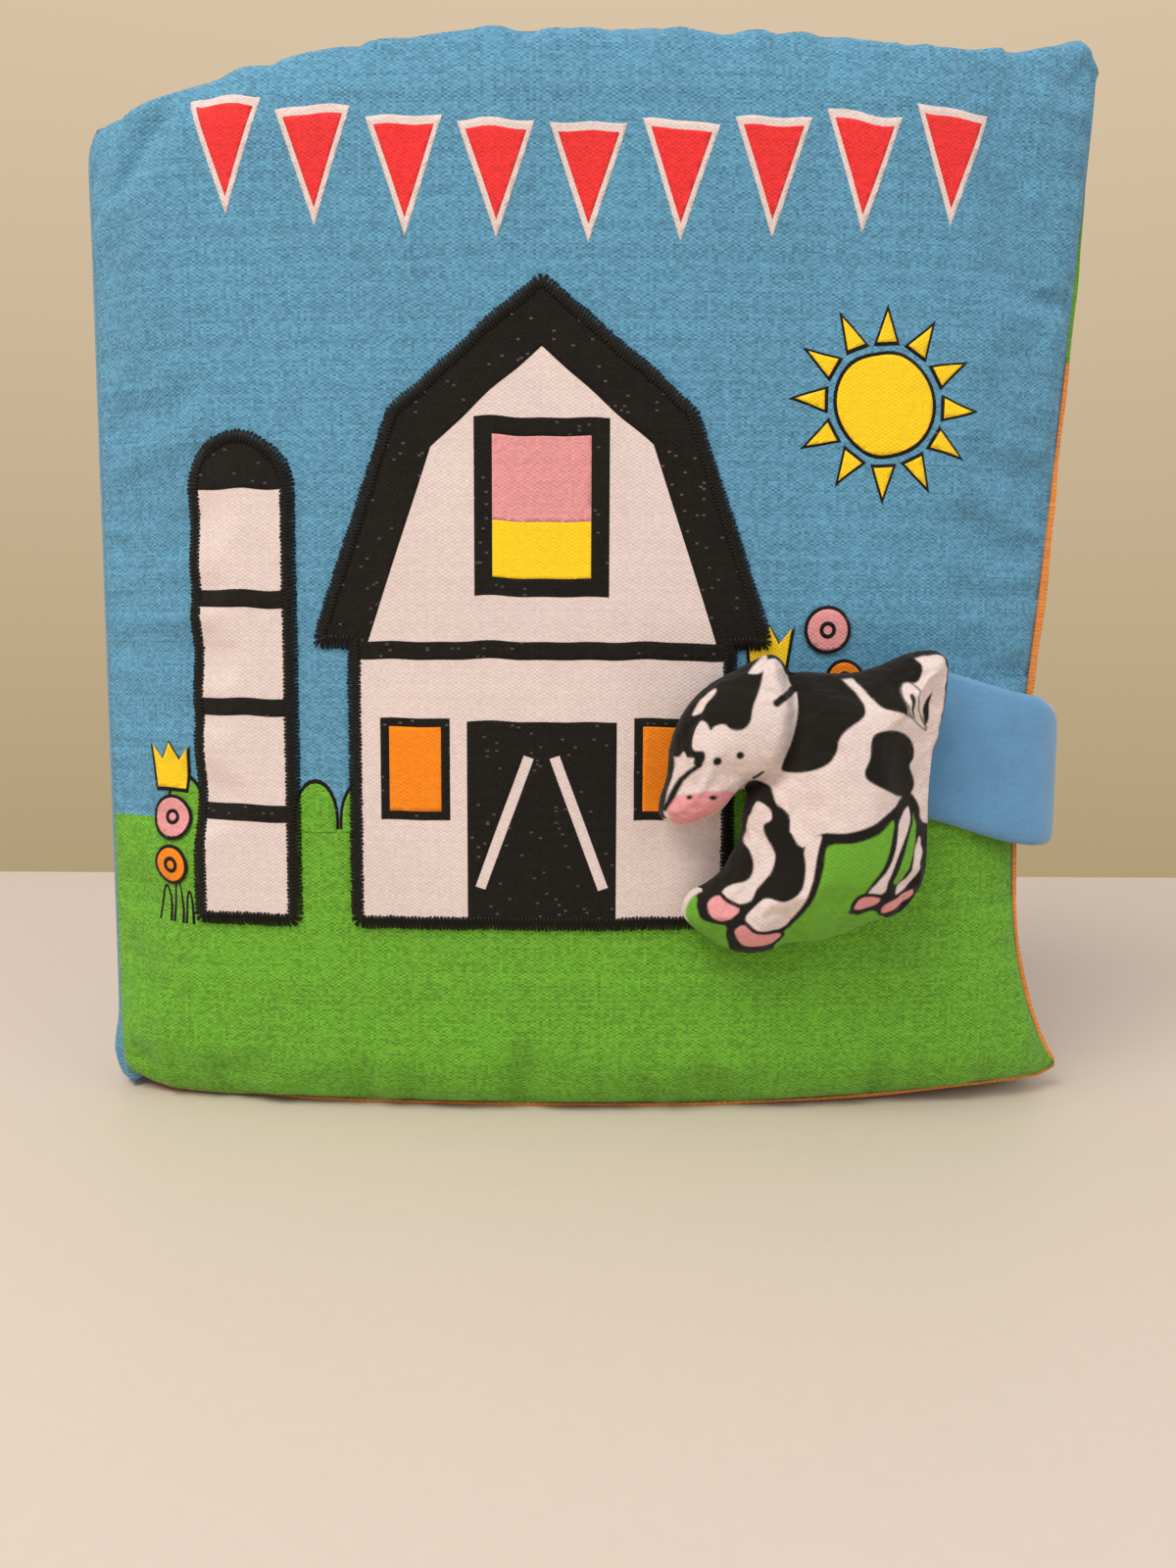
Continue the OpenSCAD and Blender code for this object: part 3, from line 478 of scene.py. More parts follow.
def cover_grids():
    t, v = np.meshgrid(np.linspace(0, 1, COLUMNS), np.linspace(0, 1, ROWS), indexing="ij")
    length = path_length(bow_turn(fore_edge_x(v * BOOK_H)))
    along = t * length
    turn = turn_at(along)
    place, out = outer_point(turn), outward(turn)
    across = place[..., 0]
    fore = length - along
    low = foot_z(across) + corner_cut(fore, FOOT_CORNER_R) + LINING_SHOWS * ease(along / LINING_START)
    low = low + CORNER_LIFT * np.maximum(0, 1 - along / CORNER_LIFT_L) ** 1.4
    high = top_z(across) - corner_cut(fore, CORNER_R) - DIP * np.exp(-((across - DIP_X) / DIP_W) ** 2)
    high = high + waves(along, *HEAD_WAVES)
    z = low + (high - low) * v
    foot, head = z - low, high - z
    k = swell(fore, EDGE_ROLL) * swell(foot, EDGE_ROLL) * swell(head, EDGE_ROLL)
    front = (1 - k) * FRONT_ROLL * (CREASE_ROLL + (1 - CREASE_ROLL) * swell(along, ROLL_START))
    back = inner_depth(front, k, along)
    rim = np.zeros_like(k, dtype=bool)
    rim[-1, :] = rim[:, 0] = rim[:, -1] = True
    back = np.where(rim, front, back)
    edge = np.minimum(np.minimum(fore, foot), head)
    beside = np.where(fore < np.minimum(foot, head), z, along)
    pucker = gathered(edge) * waves(beside, *PUCKERS)
    front = front + pucker + START_SWELL * k * swell(along, SWELL_START)
    flat = np.stack([along - MIDDLE_L, z], -1)
    return at_depth(place, out, z, front), at_depth(place, out, z, back), flat, rim


def sewn_cover():
    """The cover's outer and inner sheets, sewn together round three sides and stuffed."""
    outer, inner, flat, rim = cover_grids()
    count = outer.shape[0] * outer.shape[1]
    number = np.arange(count).reshape(outer.shape[:2])
    inside = np.where(rim, number, number + count)
    quads = grid_quads(*outer.shape[:2])
    faces = np.concatenate([quads, inside.ravel()[quads][:, ::-1]])
    used, faces_used = np.unique(faces, return_inverse=True)
    points = np.concatenate([outer.reshape(-1, 3), inner.reshape(-1, 3)])[used]
    held = np.concatenate([np.zeros(count), np.ones(count)])
    held[number[0]] = 1.0
    held[number[rim]] = SEAM_HOLD
    moved = stuffed(points, faces_used.reshape(faces.shape), held[used], PRESSURE, FRAMES, FURTHEST, SLACK)
    back_to = np.zeros(2 * count, dtype=int)
    back_to[used] = np.arange(len(used))
    return calmed(outer, moved[back_to[number]]), calmed(inner, moved[back_to[inside]]), flat


def calmed(before, after):
    """Keeps the cloth's swelling, less of it under the strap and the calf, and little of its creep."""
    out = normals_of(before)
    move = after - before
    swollen = np.sum(move * out, axis=-1, keepdims=True)
    x, z = before[..., :1], before[..., 2:]
    step = lambda a: 1 / (1 + np.exp(-a / HELD_SOFT))
    under = step(x - HELD_X) * step(z - HELD_LOW) * step(HELD_HIGH - z)
    creep = move - out * swollen
    cap = SWELL_CAP + (CAP_UNDER_STRAP - SWELL_CAP) * under
    return before + out * np.minimum(swollen, cap) + CREEP * creep


FRONT, BACK, FLAT = [refine_both(grid, 2) for grid in sewn_cover()]
for grid in (FRONT, BACK):
    grid[..., 2] = np.maximum(grid[..., 2], CLEAR)
FRONT_OUT = normals_of(FRONT)
pad_piece("front_cover", FRONT, BACK, FLAT, sky_and_meadow, "front", "cover_cloth",
          "front_cover", "meadow_print")


def mirrored(grid):
    """The same sheet on the other side of the book, its foot on the table."""
    turned = (grid * (1.0, -1.0, 1.0))[:, ::-1]
    turned[..., 2] -= LINING_SHOWS * ease(1 - turned[..., 2] / BACK_FOOT_H)
    turned[..., 2] = np.maximum(turned[..., 2], CLEAR)
    return turned


pad_piece("back_cover", mirrored(FRONT), mirrored(BACK), FLAT[:, ::-1], sky_cloth, "back", "cover_cloth",
          "back_cover")


# Where a place of the picture, in X and Z, lies on the front cover's grid, and on its cloth
def grid_place(x, z):
    x, z = np.asarray(x, float), np.asarray(z, float)
    v = np.clip((z - foot_z(x)) / (top_z(x) - foot_z(x)), 0, 1)
    t = path_length(front_turn(x)) / path_length(bow_turn(fore_edge_x(v * BOOK_H)))
    return np.stack([t * (FRONT.shape[0] - 1), v * (FRONT.shape[1] - 1)], -1)


def sample(grid, place):
    i = np.clip(place[..., 0].astype(int), 0, grid.shape[0] - 2)
    j = np.clip(place[..., 1].astype(int), 0, grid.shape[1] - 2)
    a, b = (place[..., 0] - i)[..., None], (place[..., 1] - j)[..., None]
    near, far = grid[i, j], grid[i + 1, j + 1]
    lower = near + a * (grid[i + 1, j] - near) + b * (far - grid[i + 1, j])
    upper = near + b * (grid[i, j + 1] - near) + a * (far - grid[i, j + 1])
    return np.where(a > b, lower, upper)


def on_cover(place, lift):
    return sample(FRONT, place) + sample(FRONT_OUT, place) * np.asarray(lift)[..., None]


LONGEST = 4.0  # mm between the points of a loop that is laid
PRINT_DEPTH, CLOTH_DEPTH = 0.05, 0.85  # mm from the top of a laid shape to its closed underside


def dotted(loop):
    """More points along the sides of a loop, none further apart than the longest step."""
    spots = []
    for a, b in zip(loop, loop[1:] + loop[:1]):
        a, b = np.array(a), np.array(b)
        count = max(1, math.ceil(np.linalg.norm(b - a) / LONGEST))
        spots += [a + (b - a) * k / count for k in range(count)]
    return np.array(spots)


def grid_lines(low, high):
    return range(math.ceil(low + 1e-3), math.floor(high - 1e-3) + 1)


def laid(name, loops, lift, ink, *nodes, depth=PRINT_DEPTH):
    """Flat shapes cut along the cover's grid and laid on its cloth, with their top at the lift."""
    material, slot = ink
    spots = [grid_place(*dotted(loop).T) for loop in loops]
    cuts = [(way, grid_lines) for way in ((1, 0, 0), (0, 1, 0), (1, -1, 0))]
    edit = cut_shape([[(*p, 0) for p in loop] for loop in spots], cuts, 1e-5)
    bmesh.ops.dissolve_degenerate(edit, dist=1e-3, edges=edit.edges[:])
    place = np.array([v.co[:2] for v in edit.verts])
    faces = closed_faces(edit, Vector((0, 0, 1)))
    points = np.concatenate([on_cover(place, np.full(len(place), height)) for height in (lift, lift - depth)])
    return piece(name, points, faces, np.tile(sample(FLAT, place), (2, 1)), material, "front", slot, *nodes)


# Picture: sizes in millimetres, as in the part's source
APPLIQUE, INK = 0.9, 0.07
BARN_X, FOOT_Z, WALL_W, WALL_H, OVERHANG, KNEE, APEX, BAND = -10.0, 46.0, 84.0, 64.0, 8.0, 50.0, 28.0, 11.0
SILO_W, SILO_H, SILO_GAP, STITCH_W = 22.0, 98.0, 1.5, 3.0
EAVE_Z = FOOT_Z + WALL_H
KNEE_Z, APEX_Z, ROOF_W, KNEE_W = EAVE_Z + KNEE, EAVE_Z + KNEE + APEX, WALL_W + 2 * OVERHANG, WALL_W * 0.78
SILO_X = BARN_X - ROOF_W / 2 - 2 * STITCH_W - SILO_GAP - SILO_W / 2
SILO_TOP = FOOT_Z + SILO_H


def gable(inset):
    half = [(-ROOF_W / 2 + inset, EAVE_Z), (-KNEE_W / 2 + inset * 0.75, KNEE_Z - inset * 0.65)]
    whole = half + [(0, APEX_Z - inset * 1.25)] + [(-x, z) for x, z in half[::-1]]
    return [(BARN_X + x, z) for x, z in whole]


def box(x, z, w, h):
    return [(x, z), (x + w, z), (x + w, z + h), (x, z + h)]


def ring(x, z, r, count=40, start=0.0, sweep=360.0):
    return [(x + r * math.cos(math.radians(start + sweep * k / count)),
             z + r * math.sin(math.radians(start + sweep * k / count))) for k in range(count)]


barn_loop = [(BARN_X + WALL_W / 2, FOOT_Z), (BARN_X - WALL_W / 2, FOOT_Z), (BARN_X - WALL_W / 2, EAVE_Z)]
barn_loop += gable(0) + [(BARN_X + WALL_W / 2, EAVE_Z)]
silo_loop = [(SILO_X - SILO_W / 2, FOOT_Z), (SILO_X + SILO_W / 2, FOOT_Z)]
silo_loop += ring(SILO_X, SILO_TOP, SILO_W / 2, 24, 0, 180) + [(SILO_X - SILO_W / 2, SILO_TOP)]


def double_area(loop):
    return sum(a[0] * b[1] - b[0] * a[1] for a, b in zip(loop, loop[1:] + loop[:1]))


def laid_cloth(name, loop):
    thing = laid(name, [loop], APPLIQUE, (white_cloth, "picture_cloth"), name, depth=CLOTH_DEPTH)


laid_cloth("barn_cloth", barn_loop)
laid_cloth("silo_cloth", silo_loop)

DOOR_W, DOOR_H, FRAME, BEAM = WALL_W * 0.4, WALL_H * 0.72, 4.0, 4.0
LOFT_W, LOFT_Z, LOFT_H = WALL_W * 0.26, EAVE_Z + KNEE * 0.28, KNEE * 0.62
WINDOW_W, WINDOW_X, WINDOW_Z, WINDOW_H = WALL_W * 0.14, WALL_W * 0.34, FOOT_Z + WALL_H * 0.4, WALL_H * 0.3
CLOTH_INK = APPLIQUE + INK


def brace(side):
    x, z, w, h = BARN_X + side * DOOR_W / 4, FOOT_Z + DOOR_H / 2, FRAME * 0.3, DOOR_H * 0.35
    c, s = math.cos(math.radians(20)), math.sin(math.radians(20)) * side
    return [(x + a * c - b * s, z + a * s + b * c) for a, b in ((-w, -h), (w, -h), (w, h), (-w, h))]


roof = gable(0) + gable(BAND)[::-1]
timber = [roof, box(BARN_X - WALL_W / 2, EAVE_Z - BEAM, WALL_W, BEAM)]
timber += [box(BARN_X - DOOR_W / 2, FOOT_Z, DOOR_W, DOOR_H), brace(-1), brace(1)]
timber += [box(BARN_X - LOFT_W / 2 - FRAME, LOFT_Z - FRAME, LOFT_W + 2 * FRAME, LOFT_H + 2 * FRAME),
           box(BARN_X - LOFT_W / 2, LOFT_Z, LOFT_W, LOFT_H)]
for side in (-1, 1):
    x = BARN_X + side * WINDOW_X
    timber += [box(x - WINDOW_W / 2 - FRAME / 2, WINDOW_Z - FRAME / 2, WINDOW_W + FRAME, WINDOW_H + FRAME),
               box(x - WINDOW_W / 2, WINDOW_Z, WINDOW_W, WINDOW_H)]
laid("timber_print", timber, CLOTH_INK, BLACK_PRINT, "timber_print")
silo_bands = [ring(SILO_X, SILO_TOP, SILO_W / 2, 24, 0, 180) + [(SILO_X - SILO_W / 2, SILO_TOP)]]
silo_bands += [box(SILO_X - SILO_W / 2, FOOT_Z + SILO_H * k / 4 - BEAM / 2, SILO_W, BEAM) for k in (1, 2, 3)]
laid("silo_print", silo_bands, CLOTH_INK, BLACK_PRINT, "silo_print")
hay = box(BARN_X - LOFT_W / 2, LOFT_Z, LOFT_W, LOFT_H * 0.4)
loft_door = box(BARN_X - LOFT_W / 2, LOFT_Z + LOFT_H * 0.4, LOFT_W, LOFT_H * 0.6)
windows = [box(BARN_X + side * WINDOW_X - WINDOW_W / 2, WINDOW_Z, WINDOW_W, WINDOW_H) for side in (-1, 1)]
laid("loft_door_print", [loft_door], CLOTH_INK, PINK_PRINT, "loft_door_print")
laid("hay_print", [hay], CLOTH_INK, YELLOW_PRINT, "hay_print")
laid("window_print", windows, CLOTH_INK, ORANGE_PRINT, "window_print")

# Sky: bunting and sun
FLAGS, FLAG_L, EDGING = 9, 25.0, 1.8
BUNTING_W, BUNTING_Z, SAG = BOOK_W * 0.76, BOOK_H - 18, 9.0


def flag(k, grow):
    pitch = BUNTING_W / FLAGS
    x = (k + 0.5) * pitch - BUNTING_W / 2
    z = BUNTING_Z - SAG * (1 - (2 * x / BUNTING_W) ** 2)
    half = pitch * 0.42
    return [(x - half - grow, z + grow), (x, z - FLAG_L - 2.2 * grow), (x + half + grow, z + grow)]


laid("bunting_edging", [flag(k, 0) for k in range(FLAGS)], INK, WHITE_PRINT, "bunting_edging")
laid("bunting_flags", [flag(k, -EDGING) for k in range(FLAGS)], 2 * INK, RED_PRINT, "bunting_flags")
SUN_X, SUN_Z, SUN_R, RAYS = BOOK_W * 0.28, BOOK_H * 0.66, 11.0, 12


def sun_loops(grow):
    loops = [ring(SUN_X, SUN_Z, SUN_R + grow, 48)]
    for k in range(RAYS):
        a = math.radians(360 * k / RAYS)
        ray = ((SUN_R * 1.25 - grow, -SUN_R * 0.2 - grow), (SUN_R * 1.85 + 2 * grow, 0),
               (SUN_R * 1.25 - grow, SUN_R * 0.2 + grow))
        loops.append([(SUN_X + r * math.cos(a) - s * math.sin(a), SUN_Z + r * math.sin(a) + s * math.cos(a))
                      for r, s in ray])
    return loops


OUTLINE = 0.8
laid("sun_lines", sun_loops(OUTLINE), INK, BLACK_PRINT)
laid("sun_print", sun_loops(0), 2 * INK, YELLOW_PRINT, "sun_print")

# Meadow: blades of grass and flowers, each with a black outline
BLADE_H, BLADE_PITCH, BLADE_GAP, BLADE_LINE = 9.0, 11.0, 0.8, 0.35
meadow_right = float(fore_edge_x(MEADOW_Z)) - EDGE_ROLL
BLADES = int((meadow_right - JOIN_X) // BLADE_PITCH)
toy_right = BOOK_W / 2 - TOY_FROM_EDGE + TOY_W / 2


def blade(k, grow):
    x = JOIN_X + (k + 0.5) * BLADE_PITCH
    half = (BLADE_PITCH - BLADE_GAP) / 2 + grow
    shares = (0, 0.25, 0.5, 0.72, 0.88, 0.97)
    right = [(x + half * math.sqrt(1 - h * h), MEADOW_Z + (BLADE_H + 1.5 * grow) * h) for h in shares]
    foot = [(x - half, MEADOW_Z - 2.5 + grow), (x + half, MEADOW_Z - 2.5 + grow)]
    return right + [(x, MEADOW_Z + BLADE_H + 1.5 * grow)] + [(2 * x - p, z) for p, z in right[::-1]] + foot


OPEN_BLADES = int((toy_right - JOIN_X) // BLADE_PITCH)
for name, first in (("grass_lines_a", 0), ("grass_lines_b", 1)):
    laid(name, [blade(k, BLADE_LINE) for k in range(first, OPEN_BLADES, 2)], INK, BLACK_PRINT)
laid("grass_print", [blade(k, -BLADE_LINE) for k in range(BLADES)], 2 * INK, GREEN_PRINT, "grass_print")
TUFT_Z = MEADOW_Z - 25.5
TUFT = [(-99.7, 3.8, 8.5), (-96.0, 3.2, 10.5), (-92.9, 2.6, 8.0)]


def tuft_arch(x, w, h):
    outer, inner = ([(x + (w / 2 - d) * math.cos(a), TUFT_Z + (h - d) * math.sin(a))
                     for a in np.linspace(0, math.pi, 15)] for d in (0, 0.7))
    return outer + inner[::-1]


laid("tuft_lines", [tuft_arch(*arch) for arch in TUFT], INK, BLACK_PRINT)
FLOWER_R = 5.0
LOW_Z, HIGH_Z = MEADOW_Z - 12.0, MEADOW_Z + 33.0
MARIGOLDS = [(-BOOK_W * 0.414, LOW_Z), (BOOK_W * 0.25, HIGH_Z)]
DAISIES = [(-BOOK_W * 0.416, LOW_Z + 2.2 * FLOWER_R), (BOOK_W * 0.23, HIGH_Z + 2.2 * FLOWER_R)]
TULIPS = [(-BOOK_W * 0.418, LOW_Z + 4.6 * FLOWER_R), (BOOK_W * 0.174, HIGH_Z + 1.2 * FLOWER_R)]
TULIP = [(-0.75, -1), (0.75, -1), (1, 1), (0.45, 0.35), (0, 1.15), (-0.45, 0.35), (-1, 1)]


def tulip(x, z, grow):
    return [(x + (FLOWER_R + grow) * a, z + (FLOWER_R + 0.8 * grow) * b - 0.3 * grow) for a, b in TULIP]


def flower(name, places, r, ink, base):
    """Round flowers: a black outline, the colour, and a small black ring in the middle."""
    outer, inner = [[ring(x, z, r + grow) for x, z in places] for grow in (OUTLINE / 2, -OUTLINE / 2)]
    eyes = [ring(x, z, eye, 24) for x, z in places for eye in (1.9, 1.0)]
    laid(name + "_lines", outer, base * INK, BLACK_PRINT)
    laid(name + "_print", inner, (base + 1) * INK, ink, name + "_print")
    laid(name + "_rings", eyes, (base + 2) * INK, BLACK_PRINT)


laid("tulip_lines", [tulip(x, z, OUTLINE) for x, z in TULIPS], 3 * INK, BLACK_PRINT)
laid("tulip_print", [tulip(x, z, 0) for x, z in TULIPS], 4 * INK, YELLOW_PRINT, "tulip_print")
flower("marigold", MARIGOLDS, FLOWER_R * 0.85, ORANGE_PRINT, 5)
flower("daisy", DAISIES, FLOWER_R, PINK_PRINT, 8)


# Zigzag stitching: strands of thread side by side across the edge of the picture cloth
def outline_run(loop, pitch):
    points = np.array(loop + loop[:1])
    step = np.linalg.norm(np.diff(points, axis=0), axis=1)
    whole = np.concatenate([[0], np.cumsum(step)])
    at = np.arange(0, whole[-1], pitch)
    run = np.stack([np.interp(at, whole, points[:, 0]), np.interp(at, whole, points[:, 1])], -1)
    way = np.roll(run, -3, axis=0) - np.roll(run, 3, axis=0)
    return run, way / np.linalg.norm(way, axis=1, keepdims=True)


STRAND, STRAND_HALF, STRAND_FALL = 0.42, 0.24, 0.22
SLANT, SLANT_VARIES = 0.1, 0.03
REACH_OUT, OUT_VARIES, REACH_IN, IN_VARIES = STITCH_W * 0.66, 0.12, STITCH_W * 0.4, 0.1
STRAND_LIFTS = (0.0, 0.25), (0.16, 1.1), (0.8, 1.35), (1.0, 1.1)  # share of the way in, and height in mm


def stitched(name, loop):
    run, way = outline_run(loop, STRAND)
    side = np.stack([way[:, 1], -way[:, 0]], -1) * (1 if double_area(loop) > 0 else -1)
    count = len(run)
    slant = np.where(np.arange(count) % 2, SLANT, -SLANT) + noise.normal(0, SLANT_VARIES, count)
    outer = REACH_OUT + noise.normal(0, OUT_VARIES, count)
    inner = REACH_IN + noise.normal(0, IN_VARIES, count)
    points = []
    for share, lift in STRAND_LIFTS:
        reach = (outer - (outer + inner) * share)[:, None]
        middle = run + side * reach + way * (slant[:, None] * reach)
        for shift, fall in ((-STRAND_HALF, STRAND_FALL), (0.0, 0.0), (STRAND_HALF, STRAND_FALL)):
            points.append(on_cover(grid_place(*(middle + way * shift).T), np.full(count, lift - fall)))
    points = np.stack(points, 1).reshape(-1, 3)
    sides = [[a + b, a + (b + 1) % 3, a + 3 + (b + 1) % 3, a + 3 + b] for a in (0, 3, 6) for b in range(3)]
    faces = [[v + 12 * k for v in f] for k in range(count) for f in sides + [[2, 1, 0], [9, 10, 11]]]
    thing = piece(name, points, faces, points[:, [0, 2]], black_thread, "front", "black_thread", name)
    edit_mesh(thing, lambda edit: bmesh.ops.recalc_face_normals(edit, faces=edit.faces))


stitched("barn_stitching", barn_loop)
stitched("silo_stitching", silo_loop)

# Lining: lies on the inside of the front cover and peeps out past its seam along the fore-edge and the foot
LINING_DEPTH, LINING_THICK, HEAD_DROP = 0.35, 0.6, 0.6
PEEP, PEEP_Z, PEEP_FADE = 0.8, 190.0, 80.0  # mm past the seam, and the height below which it grows
TUCK, TUCK_Z, TUCK_FADE = 0.9, 85.0, 15.0  # mm less below the strap
PEEP_TOP, TOP_FADE, FOOT_FADE = 220.0, 25.0, 10.0
FOOT_START, FOOT_START_FADE, FOOT_VARIES = 35.0, 20.0, 0.15
lining_grid = BACK + normals_of(BACK) * -LINING_DEPTH
edge_z = FLAT[-1, :, 1]
peep = PEEP + ease((PEEP_Z - edge_z) / PEEP_FADE) - TUCK * ease((TUCK_Z - edge_z) / TUCK_FADE)
peep = peep + 0.15 * np.sin(edge_z / 9.0) + 0.1 * np.sin(edge_z / 3.7)
lining_grid[-1, :, 0] += np.maximum(0, ease((PEEP_TOP - edge_z) / TOP_FADE) * ease(edge_z / FOOT_FADE) * peep)
lining_back = lining_grid - normals_of(BACK) * LINING_THICK
foot_along = FLAT[:, 0, 0] + MIDDLE_L
foot_out = outward(turn_at(foot_along))
foot_drop = (LINING_SHOWS - CLEAR) * ease((foot_along - FOOT_START) / FOOT_START_FADE)
foot_drop = foot_drop * (1 - FOOT_VARIES + FOOT_VARIES * np.sin(foot_along / 7.0))
for grid, reach in ((lining_grid, 0.1), (lining_back, -0.5)):
    grid[:, -1, 2] -= HEAD_DROP
    grid[:, 0, :2] = FRONT[:, 0, :2] + foot_out * reach
    grid[:, 0, 2] = FRONT[:, 0, 2] - foot_drop
    grid[..., 2] = np.maximum(grid[..., 2], CLEAR)
front_lining = sheet_piece("front_lining", lining_grid, lining_back, FLAT, lining_cloth, "front",
                           "lining_cloth", "front_lining")

# Spine: stuffed strip between the creases
SPINE_FOOT = 1.2
PUFF, PUFF_Z, PUFF_H = 2.2, 9.0, 6.0
SPINE_PUCKERS = (7.0, 0.4, 0.2), (4.1, 0.2, 0.7)
SPINE_GAP, CALM, CALM_FADE = 0.4, 3.0, 12.0  # degrees beside a crease
DRAWN_IN, DRAWN_FADE = 0.15, 10.0


def spine_grids(columns, rows):
    turn = np.linspace(CREASE + SPINE_GAP, 180 - CREASE - SPINE_GAP, columns)
    t, v = np.meshgrid(turn, np.linspace(0, 1, rows), indexing="ij")
    place, out, run = outer_point(t), outward(t), np.radians(t) * SPINE_R
    high = top_z(place[..., 0])
    z = SPINE_FOOT + (high - SPINE_FOOT) * v
    foot, head = z - SPINE_FOOT, high - z
    k = swell(foot, EDGE_ROLL) * swell(head, EDGE_ROLL)
    beside = np.minimum(t - CREASE, 180 - CREASE - t)
    puff = PUFF * np.exp(-((z - PUFF_Z) / PUFF_H) ** 2) * np.sin(np.pi * v) ** 0.2
    puff = puff * ease((beside - CALM) / CALM_FADE)
    pucker = gathered(np.minimum(foot, head)) * ease(beside / CALM_FADE) * waves(run, *SPINE_PUCKERS)
    drawn_in = DRAWN_IN * (1 + np.sin(z / 7.0 + np.sin(z / 19.0) * 2)) * np.exp(-(beside / DRAWN_FADE) ** 2)
    front = (1 - k) * FRONT_ROLL * CREASE_ROLL - puff + pucker + drawn_in
    back = inner_depth(front, k, np.radians(beside) * SPINE_R)
    back[:, 0], back[:, -1] = front[:, 0], front[:, -1]
    return at_depth(place, out, z, front), at_depth(place, out, z, back), np.stack([run, z], -1)


spine_sheets = [grid[:, ::-1] for grid in spine_grids(28, 150)]
pad_piece("spine", *spine_sheets, sky_cloth, "block", "cover_cloth", "spine")

# Pages: stuffed leaves in one block, sewn into the spine
INSIDE_T = COVER_T + LINING_T + GAP
SEWN_HALF = LEAF_COUNT * LEAF_SEWN_T / 2
PAGE_SPINE_X = SPINE_X - math.sqrt((SPINE_R - COVER_T) ** 2 - SEWN_HALF ** 2) + GAP
LEAF_ROLL, LEAF_EDGE, LEAF_GAP = 9.0, 0.25, 0.12
LEAF_RIPPLES = (8.3, 0.25, 0.2), (12.1, 0.3, 0.5), (27.0, 0.5, 0.1)
LEAF_STEP, RIPPLE_REACH, RIPPLE_SHARE, RIPPLE_THIN, RIPPLE_FULL = 31.0, 6.0, 0.3, 0.25, 0.8
SWAY_REACH, SWAY_L, SWAY, SWAY_STEP, SWAY_SHARE = 14.0, 61.0, 0.5, 0.3, 0.6


def half_pages(x):
    bow = np.sqrt((BOW_R - INSIDE_T) ** 2 - (x - BOW_X) ** 2) - BOW_Y
    curl = np.sqrt(np.maximum(0, (SPINE_R - INSIDE_T) ** 2 - (x - SPINE_X) ** 2))
    start = SPINE_X - (SPINE_R - INSIDE_T) * math.sin(math.radians(JOIN))
    return np.where(x > start, bow, np.maximum(SEWN_HALF, curl))


def leaf_grids(number, columns, rows):
    u, v = np.meshgrid(np.linspace(0, 1, columns), np.linspace(0, 1, rows), indexing="ij")
    fore_x = fore_edge_x(v * BOOK_H) - PAGE_INSET
    x = PAGE_SPINE_X + (fore_x - PAGE_SPINE_X) * u
    low, high = foot_z(x), top_z(x) - PAGE_INSET
    z = low + (high - low) * v
    fore, foot, head = fore_x - x, z - low, high - z
    edge = np.minimum(np.minimum(fore, foot), head)
    half = half_pages(x) / LEAF_COUNT - LEAF_GAP
    k = swell(fore, LEAF_ROLL) * swell(foot, LEAF_ROLL) * swell(head, LEAF_ROLL)
    beside = np.where(fore < np.minimum(foot, head), z, x) + LEAF_STEP * number
    ripple = gathered(edge, RIPPLE_REACH) * waves(beside, *LEAF_RIPPLES)
    sway = np.exp(-(edge / SWAY_REACH) ** 2) * waves(beside, (SWAY_L, SWAY, SWAY_STEP * number))
    sway = sway * np.minimum(1, edge / 3 + 0.4)
    thick = np.where(k > 0, np.minimum(half, LEAF_EDGE + (half - LEAF_EDGE) * k), 0.0)
    thick = thick * (1 - RIPPLE_THIN * np.abs(ripple) / RIPPLE_FULL)
    y = ((2 * number + 1) / LEAF_COUNT - 1) * half_pages(x) + sway * SWAY_SHARE
    sheets = [np.stack([x, y + side * thick + ripple * RIPPLE_SHARE * k, z], -1) for side in (-1, 1)]
    return sheets, np.stack([x, z], -1)


leaf_points, leaf_faces, leaf_flat = [], [], []
for number in range(LEAF_COUNT):
    sheets, flat = leaf_grids(number, 60, 66)
    leaf_faces.append(two_sheets(*flat.shape[:2], 2 * number * flat.shape[0] * flat.shape[1]))
    leaf_points += [sheet.reshape(-1, 3) for sheet in sheets]
    leaf_flat += [flat.reshape(-1, 2)] * 2
leaves = map(np.concatenate, (leaf_points, leaf_faces, leaf_flat))
pages = piece("pages", *leaves, page_cloth, "block", "page_cloth", "pages")
edit_mesh(pages, merge_rim)


# Strap, hook patch and tab: bands along arcs seen from above
def circles_meet(c, r, d, s):
    way = np.subtract(d, c)
    far = np.linalg.norm(way)
    along = (far * far + r * r - s * s) / (2 * far)
    aside = math.sqrt(r * r - along * along)
    unit = way / far
    return np.add(c, along * unit) + aside * np.array([unit[1], -unit[0]])


def direction(start, end):
    return math.degrees(math.atan2(end[1] - start[1], end[0] - start[0]))


def arc(centre, r, start, end, count):
    a = np.radians(np.linspace(start, end, count))
    return np.stack([centre[0] + r * np.cos(a), centre[1] + r * np.sin(a)], -1)


